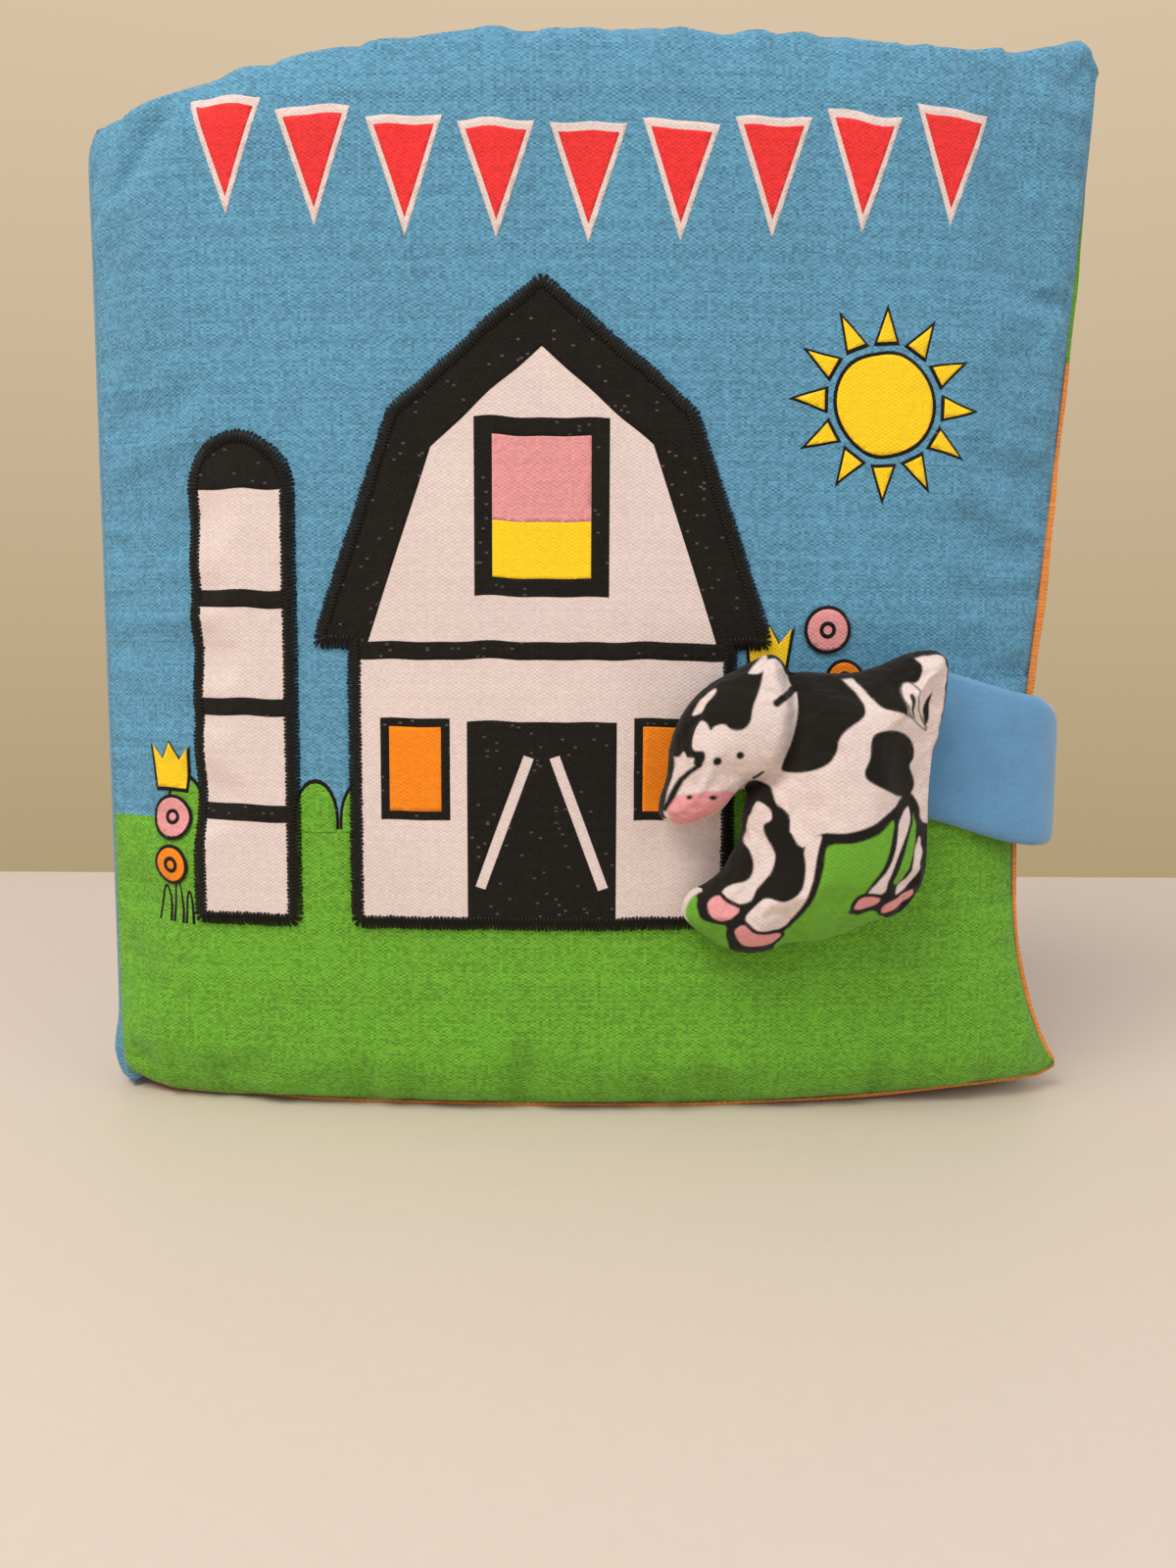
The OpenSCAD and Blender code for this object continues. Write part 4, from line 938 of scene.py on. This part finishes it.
back_crease, bow_centre, back_bow = (CREASE_X, CREASE_Y), (BOW_X, BOW_Y), (BOW_X, -BOW_Y)
LIFT = PRINT_T + GAP
tail_r = float(fore_edge_x(STRAP_Z)) - CREASE_X + STRAP_SLACK
bend_at = circles_meet(back_crease, tail_r - STRAP_BEND, bow_centre, BOW_R + LIFT - STRAP_BEND)
bend_from, bend_to = direction(bow_centre, bend_at), direction(back_crease, bend_at)
strap_start = bend_from - math.degrees(STRAP_FRONT / BOW_R)
tail_end = bend_to + math.degrees(STRAP_TAIL / tail_r)
tab_r = tail_r - HOOK_T - GAP - TAB_T
tab_at = circles_meet(back_bow, BOW_R + GAP - TAB_BEND, back_crease, tab_r - TAB_BEND)
tab_from, tab_to = direction(back_bow, tab_at), direction(back_crease, tab_at)
tab_start = tab_from + math.degrees(TAB_SEWN / BOW_R)


def strap_run(t):
    return np.concatenate([arc(bow_centre, BOW_R + LIFT + t, strap_start, bend_from, 60)[:-1],
                           arc(bend_at, STRAP_BEND + t, bend_from, bend_to, 28)[:-1],
                           arc(back_crease, tail_r + t, bend_to, tail_end, 18)])


def tab_run(t):
    return np.concatenate([arc(back_bow, BOW_R + GAP + t, tab_start, tab_from, 24)[:-1],
                           arc(tab_at, TAB_BEND + t, tab_from, tab_to, 16)[:-1],
                           arc(back_crease, tab_r + t, tab_to, bend_to, 24)])


BAND_WAVE, BAND_WAVE_L, BAND_EDGE = 0.25, 9.0, 0.25


def band(name, inside, outside, low, high, material, body, slot, node, rows=26, flip=False):
    """A band of cloth with rounded edges; low and high are its edges, as functions of the way along it."""
    middle, half = (inside + outside) / 2, (outside - inside) / 2
    length = np.concatenate([[0], np.cumsum(np.linalg.norm(np.diff(middle, axis=0), axis=1))])
    across = np.linspace(-1, 1, rows)
    edge = np.sqrt(np.maximum(0, 1 - np.abs(across) ** 10))
    s, w = np.meshgrid(length, across, indexing="ij")
    z = STRAP_Z + low(s) + (high(s) - low(s)) * (w + 1) / 2
    z = z + BAND_WAVE * np.sin(s / BAND_WAVE_L + w) * np.abs(w) ** 6
    share = (BAND_EDGE + (1 - BAND_EDGE) * edge)[None, :, None]
    outer = np.concatenate([middle[:, None] + half[:, None] * share, z[..., None]], -1)
    inner = np.concatenate([middle[:, None] - half[:, None] * share, z[..., None]], -1)
    flat = np.stack([s, z], -1)
    if flip:
        outer, inner, flat = outer[:, ::-1], inner[:, ::-1], flat[:, ::-1]
    return sheet_piece(name, outer, inner, flat, material, body, slot, node), length[-1]


STRAP_HALF, STRAP_NARROWS, NARROWS_AT, NARROWS_L = 17.4, 5.5, 61.0, 15.0
STRAP_BELOW, STRAP_UP, UP_AT, UP_L, STRAP_DOWN, DOWN_AT, DOWN_L = 0.7, 8.0, 8.0, 24.0, 7.5, 30.0, 36.0
HOOK_LOW, TAB_LOW, TAPE_HIGH = -17.0, -17.5, 8.5


def strap_level(s):
    """Height of the strap's middle: up beside the calf, and down again towards the fore-edge."""
    return -STRAP_BELOW + STRAP_UP * ease((s - UP_AT) / UP_L) - STRAP_DOWN * ease((s - DOWN_AT) / DOWN_L)


def strap_low(s):
    return strap_level(s) - STRAP_HALF


def strap_high(s):
    return strap_level(s) + STRAP_HALF - STRAP_NARROWS * ease((s - NARROWS_AT) / NARROWS_L)


def level(z):
    return lambda s: z + 0 * s


strap, strap_length = band("closing_strap", strap_run(0), strap_run(STRAP_T), strap_low, strap_high,
                           strap_cloth, "front", "strap_cloth", "closing_strap")
hook_run = [arc(back_crease, tail_r - t, bend_to + 0.3, tail_end - 0.25, 20) for t in (HOOK_T, 0.02)]
hook, hook_length = band("hook_patch", *hook_run, level(HOOK_LOW), level(TAPE_HIGH), hook_tape, "front",
                         "hook_tape", "hook_patch")
tab, tab_length = band("loop_tab", tab_run(0), tab_run(TAB_T), level(TAB_LOW), level(TAPE_HIGH), strap_cloth,
                       "back", "strap_cloth", "loop_tab", flip=True)

# Stuffed calf: its seam, in millimetres from its middle
CALF = [
    (0.8, 24.9), (2.8, 23.2), (4.5, 20.9), (7.3, 21.3), (12.5, 21.0), (18.3, 21.1), (24.1, 22.7),
    (29.5, 25.2), (34.3, 26.1), (37.1, 25.5), (38.5, 23.3), (38.4, 18.8), (37.8, 13.6), (36.8, 8.1),
    (35.7, 4.5), (35.2, -0.7), (34.9, -6.0), (35.0, -11.9), (35.1, -17.9), (34.8, -22.5), (33.8, -25.9),
    (31.9, -28.9), (29.4, -31.6), (26.4, -32.8), (23.1, -33.5), (18.9, -35.7), (13.3, -37.7), (8.1, -38.3),
    (3.8, -38.7), (1.5, -40.0), (-3.1, -41.0), (-7.8, -40.3), (-12.1, -37.9), (-16.1, -35.2),
    (-18.3, -32.5), (-18.1, -29.9), (-16.4, -27.6), (-13.8, -26.3), (-10.8, -24.1), (-8.8, -21.8),
    (-7.4, -18.8), (-5.9, -16.4), (-5.2, -13.1), (-5.0, -9.5), (-4.3, -6.2), (-3.3, -4.1), (-5.2, -3.7),
    (-7.1, -4.5), (-8.7, -6.3), (-10.4, -8.5), (-13.5, -10.6), (-17.1, -11.9), (-20.4, -11.9),
    (-22.8, -11.0), (-23.9, -9.2), (-23.3, -5.6), (-22.0, -1.6), (-21.8, 2.3), (-21.3, 5.9), (-19.4, 11.1),
    (-16.2, 15.7), (-12.0, 19.2), (-7.2, 21.7), (-3.4, 23.8), (-1.2, 24.8)]
TOY_HALF = TOY_W / 2
TOY_X = BOOK_W / 2 - TOY_FROM_EDGE
toy_rest_x = TOY_X + TOY_HALF * 0.3
toy_seam_y = float(outer_point(np.array(bow_turn(toy_rest_x)))[1]) - LIFT - STRAP_T - 2 * GAP - TOY_BACK
SEAM_ALLOWANCE, CELL, VOXEL = 0.5, 1.4, 0.85
CALF_PRESSURE, CALF_FRAMES, CALF_FURTHEST, CALF_SLACK = 6.0, 20, 8.0, 0.03
NECK_SUNK, NECK_W, NECK_HELD, SEAM_HELD, TOY_RISE = 4.2, 2.4, 0.9, 0.85, 1.4
START_ROLL, START_GAP, START_FRONT, START_BACK = 14.0, 0.5, 9.5, 3.5


def smooth_loop(loop, times=6):
    """A smooth closed curve through the points of a loop."""
    loop = np.array(loop, float)
    around = np.concatenate([loop[-3:], loop, loop[:3]])
    return refine(around, times)[3 * times:(3 + len(loop)) * times]


def cell_lines(low, high):
    return np.arange(low + CELL / 2, high, CELL)


def calf_start():
    """The calf as a thin pillow of even cells, before it is stuffed."""
    seam = smooth_loop(CALF, 2)
    way = np.roll(seam, -1, axis=0) - np.roll(seam, 1, axis=0)
    way /= np.linalg.norm(way, axis=1, keepdims=True)
    seam = seam + SEAM_ALLOWANCE * np.stack([-way[:, 1], way[:, 0]], -1)
    edit = cut_shape([[(x, 0, z) for x, z in seam]], [((1, 0, 0), cell_lines), ((0, 0, 1), cell_lines)], 1e-4)
    flat = np.array([(v.co.x, v.co.z) for v in edit.verts])
    faces = closed_faces(edit, Vector((0, -1, 0)))
    fill = swell(SEAM_ALLOWANCE - inside_loop(flat, CALF, 2), START_ROLL)
    heights = -START_GAP - START_FRONT * fill, START_GAP + START_BACK * fill
    sides = [np.stack([flat[:, 0], height, flat[:, 1]], -1) for height in heights]
    thing = new_object("calf start", np.concatenate(sides), faces)
    cells = thing.modifiers.new("cells", "REMESH")
    cells.mode, cells.voxel_size = "VOXEL", VOXEL * MM
    return taken_up(thing)


def segment(p, a, b):
    a, b = np.array(a), np.array(b)
    t = np.clip(((p - a) @ (b - a)) / ((b - a) @ (b - a)), 0, 1)
    return np.linalg.norm(p - a - t[:, None] * (b - a), axis=1)


def stroke(p, places):
    """Distance from a line through some places."""
    return np.min([segment(p, a, b) for a, b in zip(places, places[1:])], axis=0)


def inside_loop(p, loop, times=4):
    """Distance from a smooth closed loop, below nought inside it."""
    loop = smooth_loop(loop, times)
    away, odd = np.full(len(p), 1e9), np.zeros(len(p), dtype=bool)
    for a, b in zip(loop, np.roll(loop, -1, axis=0)):
        away = np.minimum(away, segment(p, a, b))
        if a[1] != b[1]:
            odd ^= ((a[1] > p[:, 1]) != (b[1] > p[:, 1])) & (
                p[:, 0] < (b[0] - a[0]) * (p[:, 1] - a[1]) / (b[1] - a[1]) + a[0])
    return np.where(odd, -away, away)


calf_points, calf_faces = calf_start()
calf_flat = calf_points[:, [0, 2]].copy()
from_seam = -inside_loop(calf_flat, CALF, 2)
NECK = [(4.2, 20.8), (5.3, 17.3), (5.4, 13.3), (4.9, 8.4), (3.7, 3.3), (2.2, 0.2), (0.2, -2.0), (-3.7, -3.6)]
neck = stroke(calf_flat, NECK)
in_front = calf_points[:, 1] < 0
held = np.where((neck < NECK_HELD) & in_front, 1.0, np.where(from_seam < 0.2, SEAM_HELD, 0.0))
sunk = calf_points.copy()
sunk[:, 1] += np.where(in_front, NECK_SUNK * np.exp(-(neck / NECK_W) ** 2), 0.0)
calf_ready = stuffed(sunk, calf_faces, held, CALF_PRESSURE, CALF_FRAMES, CALF_FURTHEST, CALF_SLACK)
calf_ready[:, 1] = np.minimum(calf_ready[:, 1], TOY_BACK - 0.1)
place = np.array([TOY_X, toy_seam_y, TOY_Z + TOY_RISE])
toy = piece("toy_calf", calf_ready + place, calf_faces, calf_flat, toy_cloth, "front", "toy_cloth",
            "toy_calf", "toy_patches", "toy_muzzle", "toy_meadow")
finer = toy.modifiers.new("finer", "SUBSURF")
finer.levels = finer.render_levels = 1
bpy.context.view_layer.objects.active = toy
toy.select_set(True)
bpy.ops.object.modifier_apply(modifier="finer")
toy.select_set(False)


# Print on the calf, and a painted shadow under its chin, as a colour at each point: places in millimetres
# from the calf's middle
SADDLE = [
    (4.1, 20.9), (6.8, 21.9), (10.6, 21.9), (14.2, 20.9), (15.8, 19.8), (17.6, 17.7), (18.9, 14.6),
    (18.4, 11.8), (15.3, 9.4), (13.5, 7.3), (12.8, 4.5), (11.1, 2.1), (7.3, 0.5), (2.5, 0.1), (2.6, 2.7),
    (4.0, 6.5), (5.2, 11.5), (5.5, 15.5), (5.2, 17.7), (4.1, 19.3)]
RUMP = [
    (17.6, 21.6), (22.7, 23.4), (29.0, 26.0), (31.0, 24.6), (31.8, 23.4), (31.4, 21.5), (30.1, 20.0),
    (27.6, 20.0), (26.7, 18.1), (27.4, 15.3), (28.5, 12.7), (30.3, 11.4), (27.0, 12.7), (22.7, 13.7),
    (21.0, 15.7), (19.0, 18.5), (17.8, 20.0)]
SPOT = [
    (21.0, 8.5), (24.8, 9.1), (28.9, 8.1), (31.2, 5.9), (31.5, 3.3), (30.7, 1.3), (32.2, -1.8),
    (31.5, -4.5), (27.9, -5.0), (23.7, -3.5), (19.8, -1.6), (18.6, 0.3), (19.7, 3.4), (19.9, 6.6)]
POLL = [
    (-22.4, 5.1), (-21.6, 7.8), (-20.0, 11.8), (-17.0, 16.5), (-12.6, 20.0), (-7.7, 22.4), (-3.6, 24.3),
    (-2.4, 22.2), (-3.6, 17.6), (-4.9, 13.9), (-5.4, 11.1), (-6.9, 9.4), (-9.1, 9.3), (-10.9, 10.4),
    (-12.7, 9.9), (-13.5, 9.1), (-14.4, 10.6), (-15.7, 10.9), (-16.8, 9.0), (-17.5, 6.8), (-16.9, 4.9),
    (-14.9, 4.7), (-14.7, 3.1), (-15.9, 1.4), (-17.1, 2.0), (-17.0, 3.2), (-18.5, 3.3), (-19.3, 4.4),
    (-20.2, 3.3), (-21.5, 3.2)]
CHEST = [
    (-4.8, -3.2), (-3.3, -2.1), (0.0, -3.4), (0.5, -6.5), (3.0, -8.9), (3.4, -14.5), (5.8, -15.6),
    (6.7, -20.1), (6.1, -24.6), (3.2, -27.4), (-1.3, -26.7), (-3.4, -27.6), (-1.5, -22.7), (0.1, -18.6),
    (-0.2, -16.7), (-1.7, -13.6), (-2.0, -11.3), (-0.6, -9.9), (-1.0, -7.8), (-2.5, -6.7), (-3.5, -7.6),
    (-4.5, -10.3), (-5.2, -13.8), (-6.4, -15.6), (-6.2, -11.6), (-5.8, -7.6)]
SHIN = [
    (-6.3, -15.9), (-4.5, -17.2), (-4.1, -20.3), (-4.8, -22.8), (-6.3, -24.1), (-8.7, -24.9),
    (-10.5, -26.6), (-11.9, -27.3), (-13.5, -28.9), (-15.7, -30.0), (-16.4, -28.1), (-14.6, -25.6),
    (-11.8, -23.0), (-9.7, -20.9), (-8.2, -18.0)]
MEADOW_BEHIND = [
    [(11.5, -15.0), (17.1, -14.3), (22.1, -12.5), (25.7, -9.9), (25.1, -14.3), (23.6, -19.1), (20.6, -23.7),
     (17.8, -28.8), (16.8, -30.3), (19.5, -31.1), (22.9, -30.5), (26.5, -33.5), (24.0, -38.0),
     (18.5, -40.0), (13.0, -42.0), (8.0, -43.0), (3.0, -43.0), (1.6, -39.5), (2.1, -36.7), (4.7, -34.0),
     (7.2, -30.0), (9.2, -25.3), (10.6, -19.5)],
    [(-22.0, -32.0), (-22.0, -27.0), (-17.2, -25.0), (-15.8, -28.1), (-15.9, -30.0), (-14.8, -32.4),
     (-11.6, -33.9), (-9.7, -34.4), (-9.5, -36.8), (-8.1, -40.0), (-8.0, -44.0), (-13.0, -43.0),
     (-20.0, -39.0)],
    [(31.9, -9.1), (31.8, -14.8), (29.7, -20.4), (27.5, -23.9), (26.3, -22.8), (28.0, -18.3), (29.9, -13.3),
     (31.4, -10.2)]]
BELOW = [
    (9.8, -12.5), (15.1, -12.2), (20.2, -10.7), (25.0, -7.9), (29.0, -4.9), (31.3, -4.3), (33.0, -6.6),
    (34.2, -11.0), (38.0, -13.0), (38.0, -26.0), (30.0, -37.0), (10.0, -44.0), (-10.0, -45.0),
    (-22.0, -38.0), (-22.0, -29.0), (-17.0, -24.6), (-12.0, -21.5), (-9.0, -16.0), (-7.5, -13.0),
    (0.0, -12.0), (3.0, -12.0), (5.8, -15.6)]
SHANKS = [
    [(30.2, -7.3), (27.3, -10.0), (26.6, -14.4), (24.8, -19.5), (21.4, -23.9), (20.5, -25.5), (22.4, -25.9),
     (24.1, -25.1), (24.9, -22.1), (27.0, -17.0), (29.5, -12.1), (30.6, -8.9)],
    [(-3.5, -7.6), (-2.5, -6.7), (-1.0, -7.8), (-0.6, -9.9), (-2.0, -11.3), (-1.7, -13.6), (-0.2, -16.7),
     (0.1, -18.6), (-0.8, -21.7), (-3.4, -24.9), (-4.6, -27.6), (-7.6, -28.6), (-9.8, -27.4),
     (-10.5, -26.6), (-8.7, -24.9), (-6.3, -24.1), (-4.8, -22.8), (-4.1, -20.3), (-4.5, -17.2),
     (-5.6, -15.6), (-5.0, -13.2), (-4.5, -10.3)],
    [(33.1, -14.0), (33.7, -17.7), (32.5, -22.0), (30.6, -24.5), (27.2, -26.4), (27.9, -23.9),
     (30.0, -22.4), (31.1, -19.3), (32.0, -16.1)],
    [(-5.2, -30.8), (-3.3, -28.4), (-1.2, -26.9), (2.9, -27.5), (6.1, -24.8), (6.7, -20.1), (6.4, -15.7),
     (9.8, -12.8), (9.1, -16.9), (8.2, -23.3), (6.2, -29.3), (3.4, -33.7), (-0.4, -35.0), (-3.7, -34.4),
     (-5.4, -32.3)]]
HOOVES = [
    [(-13.5, -29.1), (-12.5, -27.8), (-11.1, -27.3), (-9.8, -28.4), (-7.0, -29.7), (-8.2, -31.4),
     (-10.4, -32.9), (-12.1, -32.3), (-13.3, -30.8)],
    [(-7.6, -35.4), (-7.1, -33.9), (-5.7, -33.2), (-3.0, -35.1), (2.3, -35.5), (1.2, -37.4), (-2.3, -38.3),
     (-5.6, -38.0)],
    [(18.0, -28.8), (18.9, -26.8), (20.5, -26.2), (23.4, -26.9), (22.0, -29.0), (18.9, -29.5)],
    [(24.5, -30.0), (25.1, -28.3), (27.7, -27.1), (31.5, -25.8), (31.3, -28.0), (28.2, -29.7),
     (25.2, -31.1)]]
MUZZLE = [
    (-21.8, -5.8), (-19.7, -4.8), (-15.7, -4.2), (-11.8, -3.9), (-8.6, -4.3), (-7.8, -5.3), (-9.8, -7.6),
    (-11.8, -9.2), (-15.0, -11.0), (-18.3, -11.9), (-21.0, -11.4), (-22.5, -9.3), (-22.5, -7.3)]
EAR = [(-15.8, 1.8), (-18.5, -0.1), (-19.8, -1.5), (-20.8, -3.3), (-21.9, -5.7), (-23.2, -8.5)]
FAR_EAR = [(5.3, 18.5), (3.7, 17.1), (1.3, 16.0), (0.1, 15.0)]
# Painted shadow: a short black stroke under the chin, where the head lies over the body
CHIN_SHADOW = [(-2.2, 0.0), (-3.6, -1.4)]
BARE_RIM = [
    [(-5.4, 21.4), (-3.5, 23.6), (-1.1, 25.4), (-1.9, 22.7), (-3.7, 21.4)],
    [(-12.3, 17.7), (-14.6, 16.2), (-16.4, 14.5), (-17.5, 12.4), (-15.7, 12.9), (-14.3, 14.8),
     (-12.5, 16.6)]]
TAIL = [
    (27.3, 19.5), (28.6, 20.0), (30.0, 18.9), (31.1, 16.6), (32.4, 12.8), (34.5, 9.2), (32.7, 10.1),
    (30.1, 11.9), (28.0, 14.7), (27.1, 17.2)]
TAIL_DARK = [
    [(28.5, 17.0), (29.1, 17.5), (29.7, 16.0), (30.5, 13.4), (31.2, 11.4), (30.1, 12.5), (28.9, 14.7)],
    [(35.3, 17.2), (35.1, 13.6), (34.5, 10.0), (33.6, 12.4), (33.9, 14.6)]]
NOSTRILS, NOSTRIL_W, NOSTRIL_H = ((-18.2, -5.3), (-12.9, -5.3)), 0.85, 0.5
EYES = ((-12.0, 2.5, 0.95), (-7.3, 4.0, 0.8))
HOOF_LINE, TAIL_LINE, TOE_LINE, MUZZLE_SOFT = 0.9, 0.35, 0.25, 0.35
RIM_LINE, RIM_FROM, RIM_FADE, RIM_TO = 0.55, 8.0, 20.0, 205.0  # mm, then degrees round the middle
TOE_X, TOE_LOW, TOE_HIGH = -14.5, -33.5, -26.5
UNPAINTED = 9.0  # a distance that is well outside a print


# Colour at each point of the calf: its print, with a painted shadow under the chin
def calf_print_and_shadow(p):
    white, black, pink, green = (np.array(linear(c)[:3]) for c in (WHITE, BLACK, PINK, MEADOW))
    colour = np.tile(white, (len(p), 1))

    def paint(distance, ink, soft=0.2):
        cover = np.clip(0.5 - distance / (2 * soft), 0, 1)[:, None]
        colour[:] = colour * (1 - cover) + ink * cover

    for patch in (BELOW, SADDLE, RUMP, SPOT, POLL, CHEST, SHIN):
        paint(inside_loop(p, patch), black)
    for field in MEADOW_BEHIND:
        paint(inside_loop(p, field), green)
    for shank in SHANKS:
        paint(inside_loop(p, shank), white)
    for hoof in HOOVES:
        distance = inside_loop(p, hoof)
        paint(distance - HOOF_LINE, black)
        paint(distance, pink)
    paint(inside_loop(p, MUZZLE), pink, MUZZLE_SOFT)
    for nostril in NOSTRILS:
        away = np.linalg.norm((p - np.array(nostril)) / (NOSTRIL_W, NOSTRIL_H), axis=1)
        paint((away - 1) * NOSTRIL_H, black)
    for x, z, r in EYES:
        paint(np.linalg.norm(p - np.array([x, z]), axis=1) - r, black)
    # The ear strokes are print; the chin stroke is painted shadow
    for line, half in ((EAR, 0.5), (FAR_EAR, 0.85), (CHIN_SHADOW, 0.45)):
        paint(stroke(p, line) - half, black)
    distance = inside_loop(p, TAIL)
    paint(distance - TAIL_LINE, black)
    paint(distance, white)
    for patch in TAIL_DARK:
        paint(inside_loop(p, patch), black)
    rim = -inside_loop(p, CALF, 2)
    way = np.degrees(np.arctan2(p[:, 1], p[:, 0])) % 360
    line = rim - RIM_LINE * ease((way - RIM_FROM) / RIM_FADE)
    paint(np.where(way < RIM_TO, line, UNPAINTED), black)
    for patch in BARE_RIM:
        paint(inside_loop(p, patch), white)
    toe = (p[:, 0] < TOE_X) & (p[:, 1] < TOE_HIGH) & (p[:, 1] > TOE_LOW)
    paint(np.where(toe, rim - TOE_LINE, UNPAINTED), white)
    return colour


def flat_places(mesh):
    corner = corners(mesh)
    uv = np.empty(len(corner) * 2, dtype=np.float32)
    mesh.uv_layers["flat"].data.foreach_get("uv", uv)
    flat = np.zeros((len(mesh.vertices), 2))
    flat[corner] = uv.reshape(-1, 2) / MM
    return flat


# Finer cells where the colour changes, so that the print has a crisp edge
ink = calf_print_and_shadow(flat_places(toy.data))


def split_borders(edit):
    crossed = [e for e in edit.edges if np.abs(ink[e.verts[0].index] - ink[e.verts[1].index]).max() > 0.12]
    bmesh.ops.subdivide_edges(edit, edges=crossed, cuts=1, use_grid_fill=True)
    bmesh.ops.triangulate(edit, faces=[f for f in edit.faces if len(f.verts) > 4])


edit_mesh(toy, split_borders)
ink = calf_print_and_shadow(flat_places(toy.data))
layer = toy.data.color_attributes.new("ink", "FLOAT_COLOR", "POINT")
layer.data.foreach_set("color", np.concatenate([ink, np.ones((len(ink), 1))], 1).astype(np.float32).ravel())

# Table, light and camera
TABLE_W, TABLE_D, TABLE_Y = 3.0, 1.8, -0.61  # metres
bpy.ops.mesh.primitive_plane_add(size=1.0, location=(0, TABLE_Y, 0))
table = bpy.context.object
table.name = "table"
table.data.transform(Matrix.Diagonal((TABLE_W, TABLE_D, 1.0, 1.0)))
# Painted board, rolled on: pale and half matt, with a faint speckle
paint, tree, surface = new_material("painted table top")
place = add(tree, "TexCoord").outputs["Object"]
speckle = add(tree, "TexNoise", {"Vector": place, "Scale": SPECK / MM}).outputs["Fac"]
feeds = {"Factor": speckle, 6: linear("#dccabb"), 7: linear("#e0cebf")}
tree.links.new(add(tree, "Mix", feeds, data_type="RGBA").outputs[2], surface.inputs["Base Color"])
surface.inputs["Roughness"].default_value = 0.5
table.data.materials.append(paint)

WALL_LOW, WALL_HIGH, ROOM_LIGHT = -0.17, 0.45, 0.55
world = bpy.data.worlds.new("room")
scene.world = world
world.use_nodes = True
tree = world.node_tree
rays = add(tree, "LightPath").outputs
direct = rays["Is Camera Ray"]
for ray in ("Is Glossy Ray", "Is Transmission Ray"):
    direct = add(tree, "Math", {0: direct, 1: rays[ray]}, operation="MAXIMUM").outputs[0]
# Painted shade: the wall that the camera sees is darker towards the bottom and lighter towards the top,
# between the two colours below
rise = add(tree, "SeparateXYZ", {"Vector": add(tree, "TexCoord").outputs["Generated"]}).outputs["Z"]
height = add(tree, "MapRange", {"Value": rise, "From Min": WALL_LOW, "From Max": WALL_HIGH}).outputs[0]
feeds = {"Factor": height, 6: linear("#b19c78"), 7: linear("#d9c4a8")}
shaded_wall = add(tree, "Mix", feeds, data_type="RGBA").outputs[2]
feeds = {"Factor": direct, 6: shade("#ffffff", ROOM_LIGHT), 7: shaded_wall}
tree.links.new(add(tree, "Mix", feeds, data_type="RGBA").outputs[2], tree.nodes["Background"].inputs["Color"])


def lamp(name, place, aim, size, power, tint):
    light = bpy.data.lights.new(name, "AREA")
    light.size, light.energy, light.color = size, power, linear(tint)[:3]
    thing = bpy.data.objects.new(name, light)
    scene.collection.objects.link(thing)
    thing.location = place
    thing.rotation_euler = (Vector(aim) - Vector(place)).to_track_quat("-Z", "Y").to_euler()


lamp("ceiling light", (-0.55, -0.75, 1.2), (0, 0, 0.12), 0.8, 14.5, "#fffcf6")
lamp("window light", (0.9, -0.7, 0.7), (0, 0, 0.12), 0.8, 2.6, "#f4f8ff")

FOCAL_PX, HEIGHT_PX, SENSOR = 1250.0, 1600.0, 36.0
EYE = Vector((2.0, -305.5, 107.5)) * MM
yaw, pitch, roll = (math.radians(a) for a in (-0.32, -6.0, 0.25))
look = Vector((math.sin(yaw) * math.cos(pitch), math.cos(yaw) * math.cos(pitch), math.sin(pitch)))
right = Vector((math.cos(yaw), -math.sin(yaw), 0))
up = right.cross(look)
across, upright = right * math.cos(roll) + up * math.sin(roll), up * math.cos(roll) - right * math.sin(roll)
camera = bpy.data.objects.new("camera", bpy.data.cameras.new("camera"))
scene.collection.objects.link(camera)
camera.data.sensor_fit = "VERTICAL"
camera.data.sensor_height = SENSOR
camera.data.lens = FOCAL_PX / HEIGHT_PX * SENSOR
camera.data.clip_start = 0.01
camera.matrix_world = Matrix((across, upright, -look)).transposed().to_4x4()
camera.matrix_world.translation = EYE
scene.camera = camera
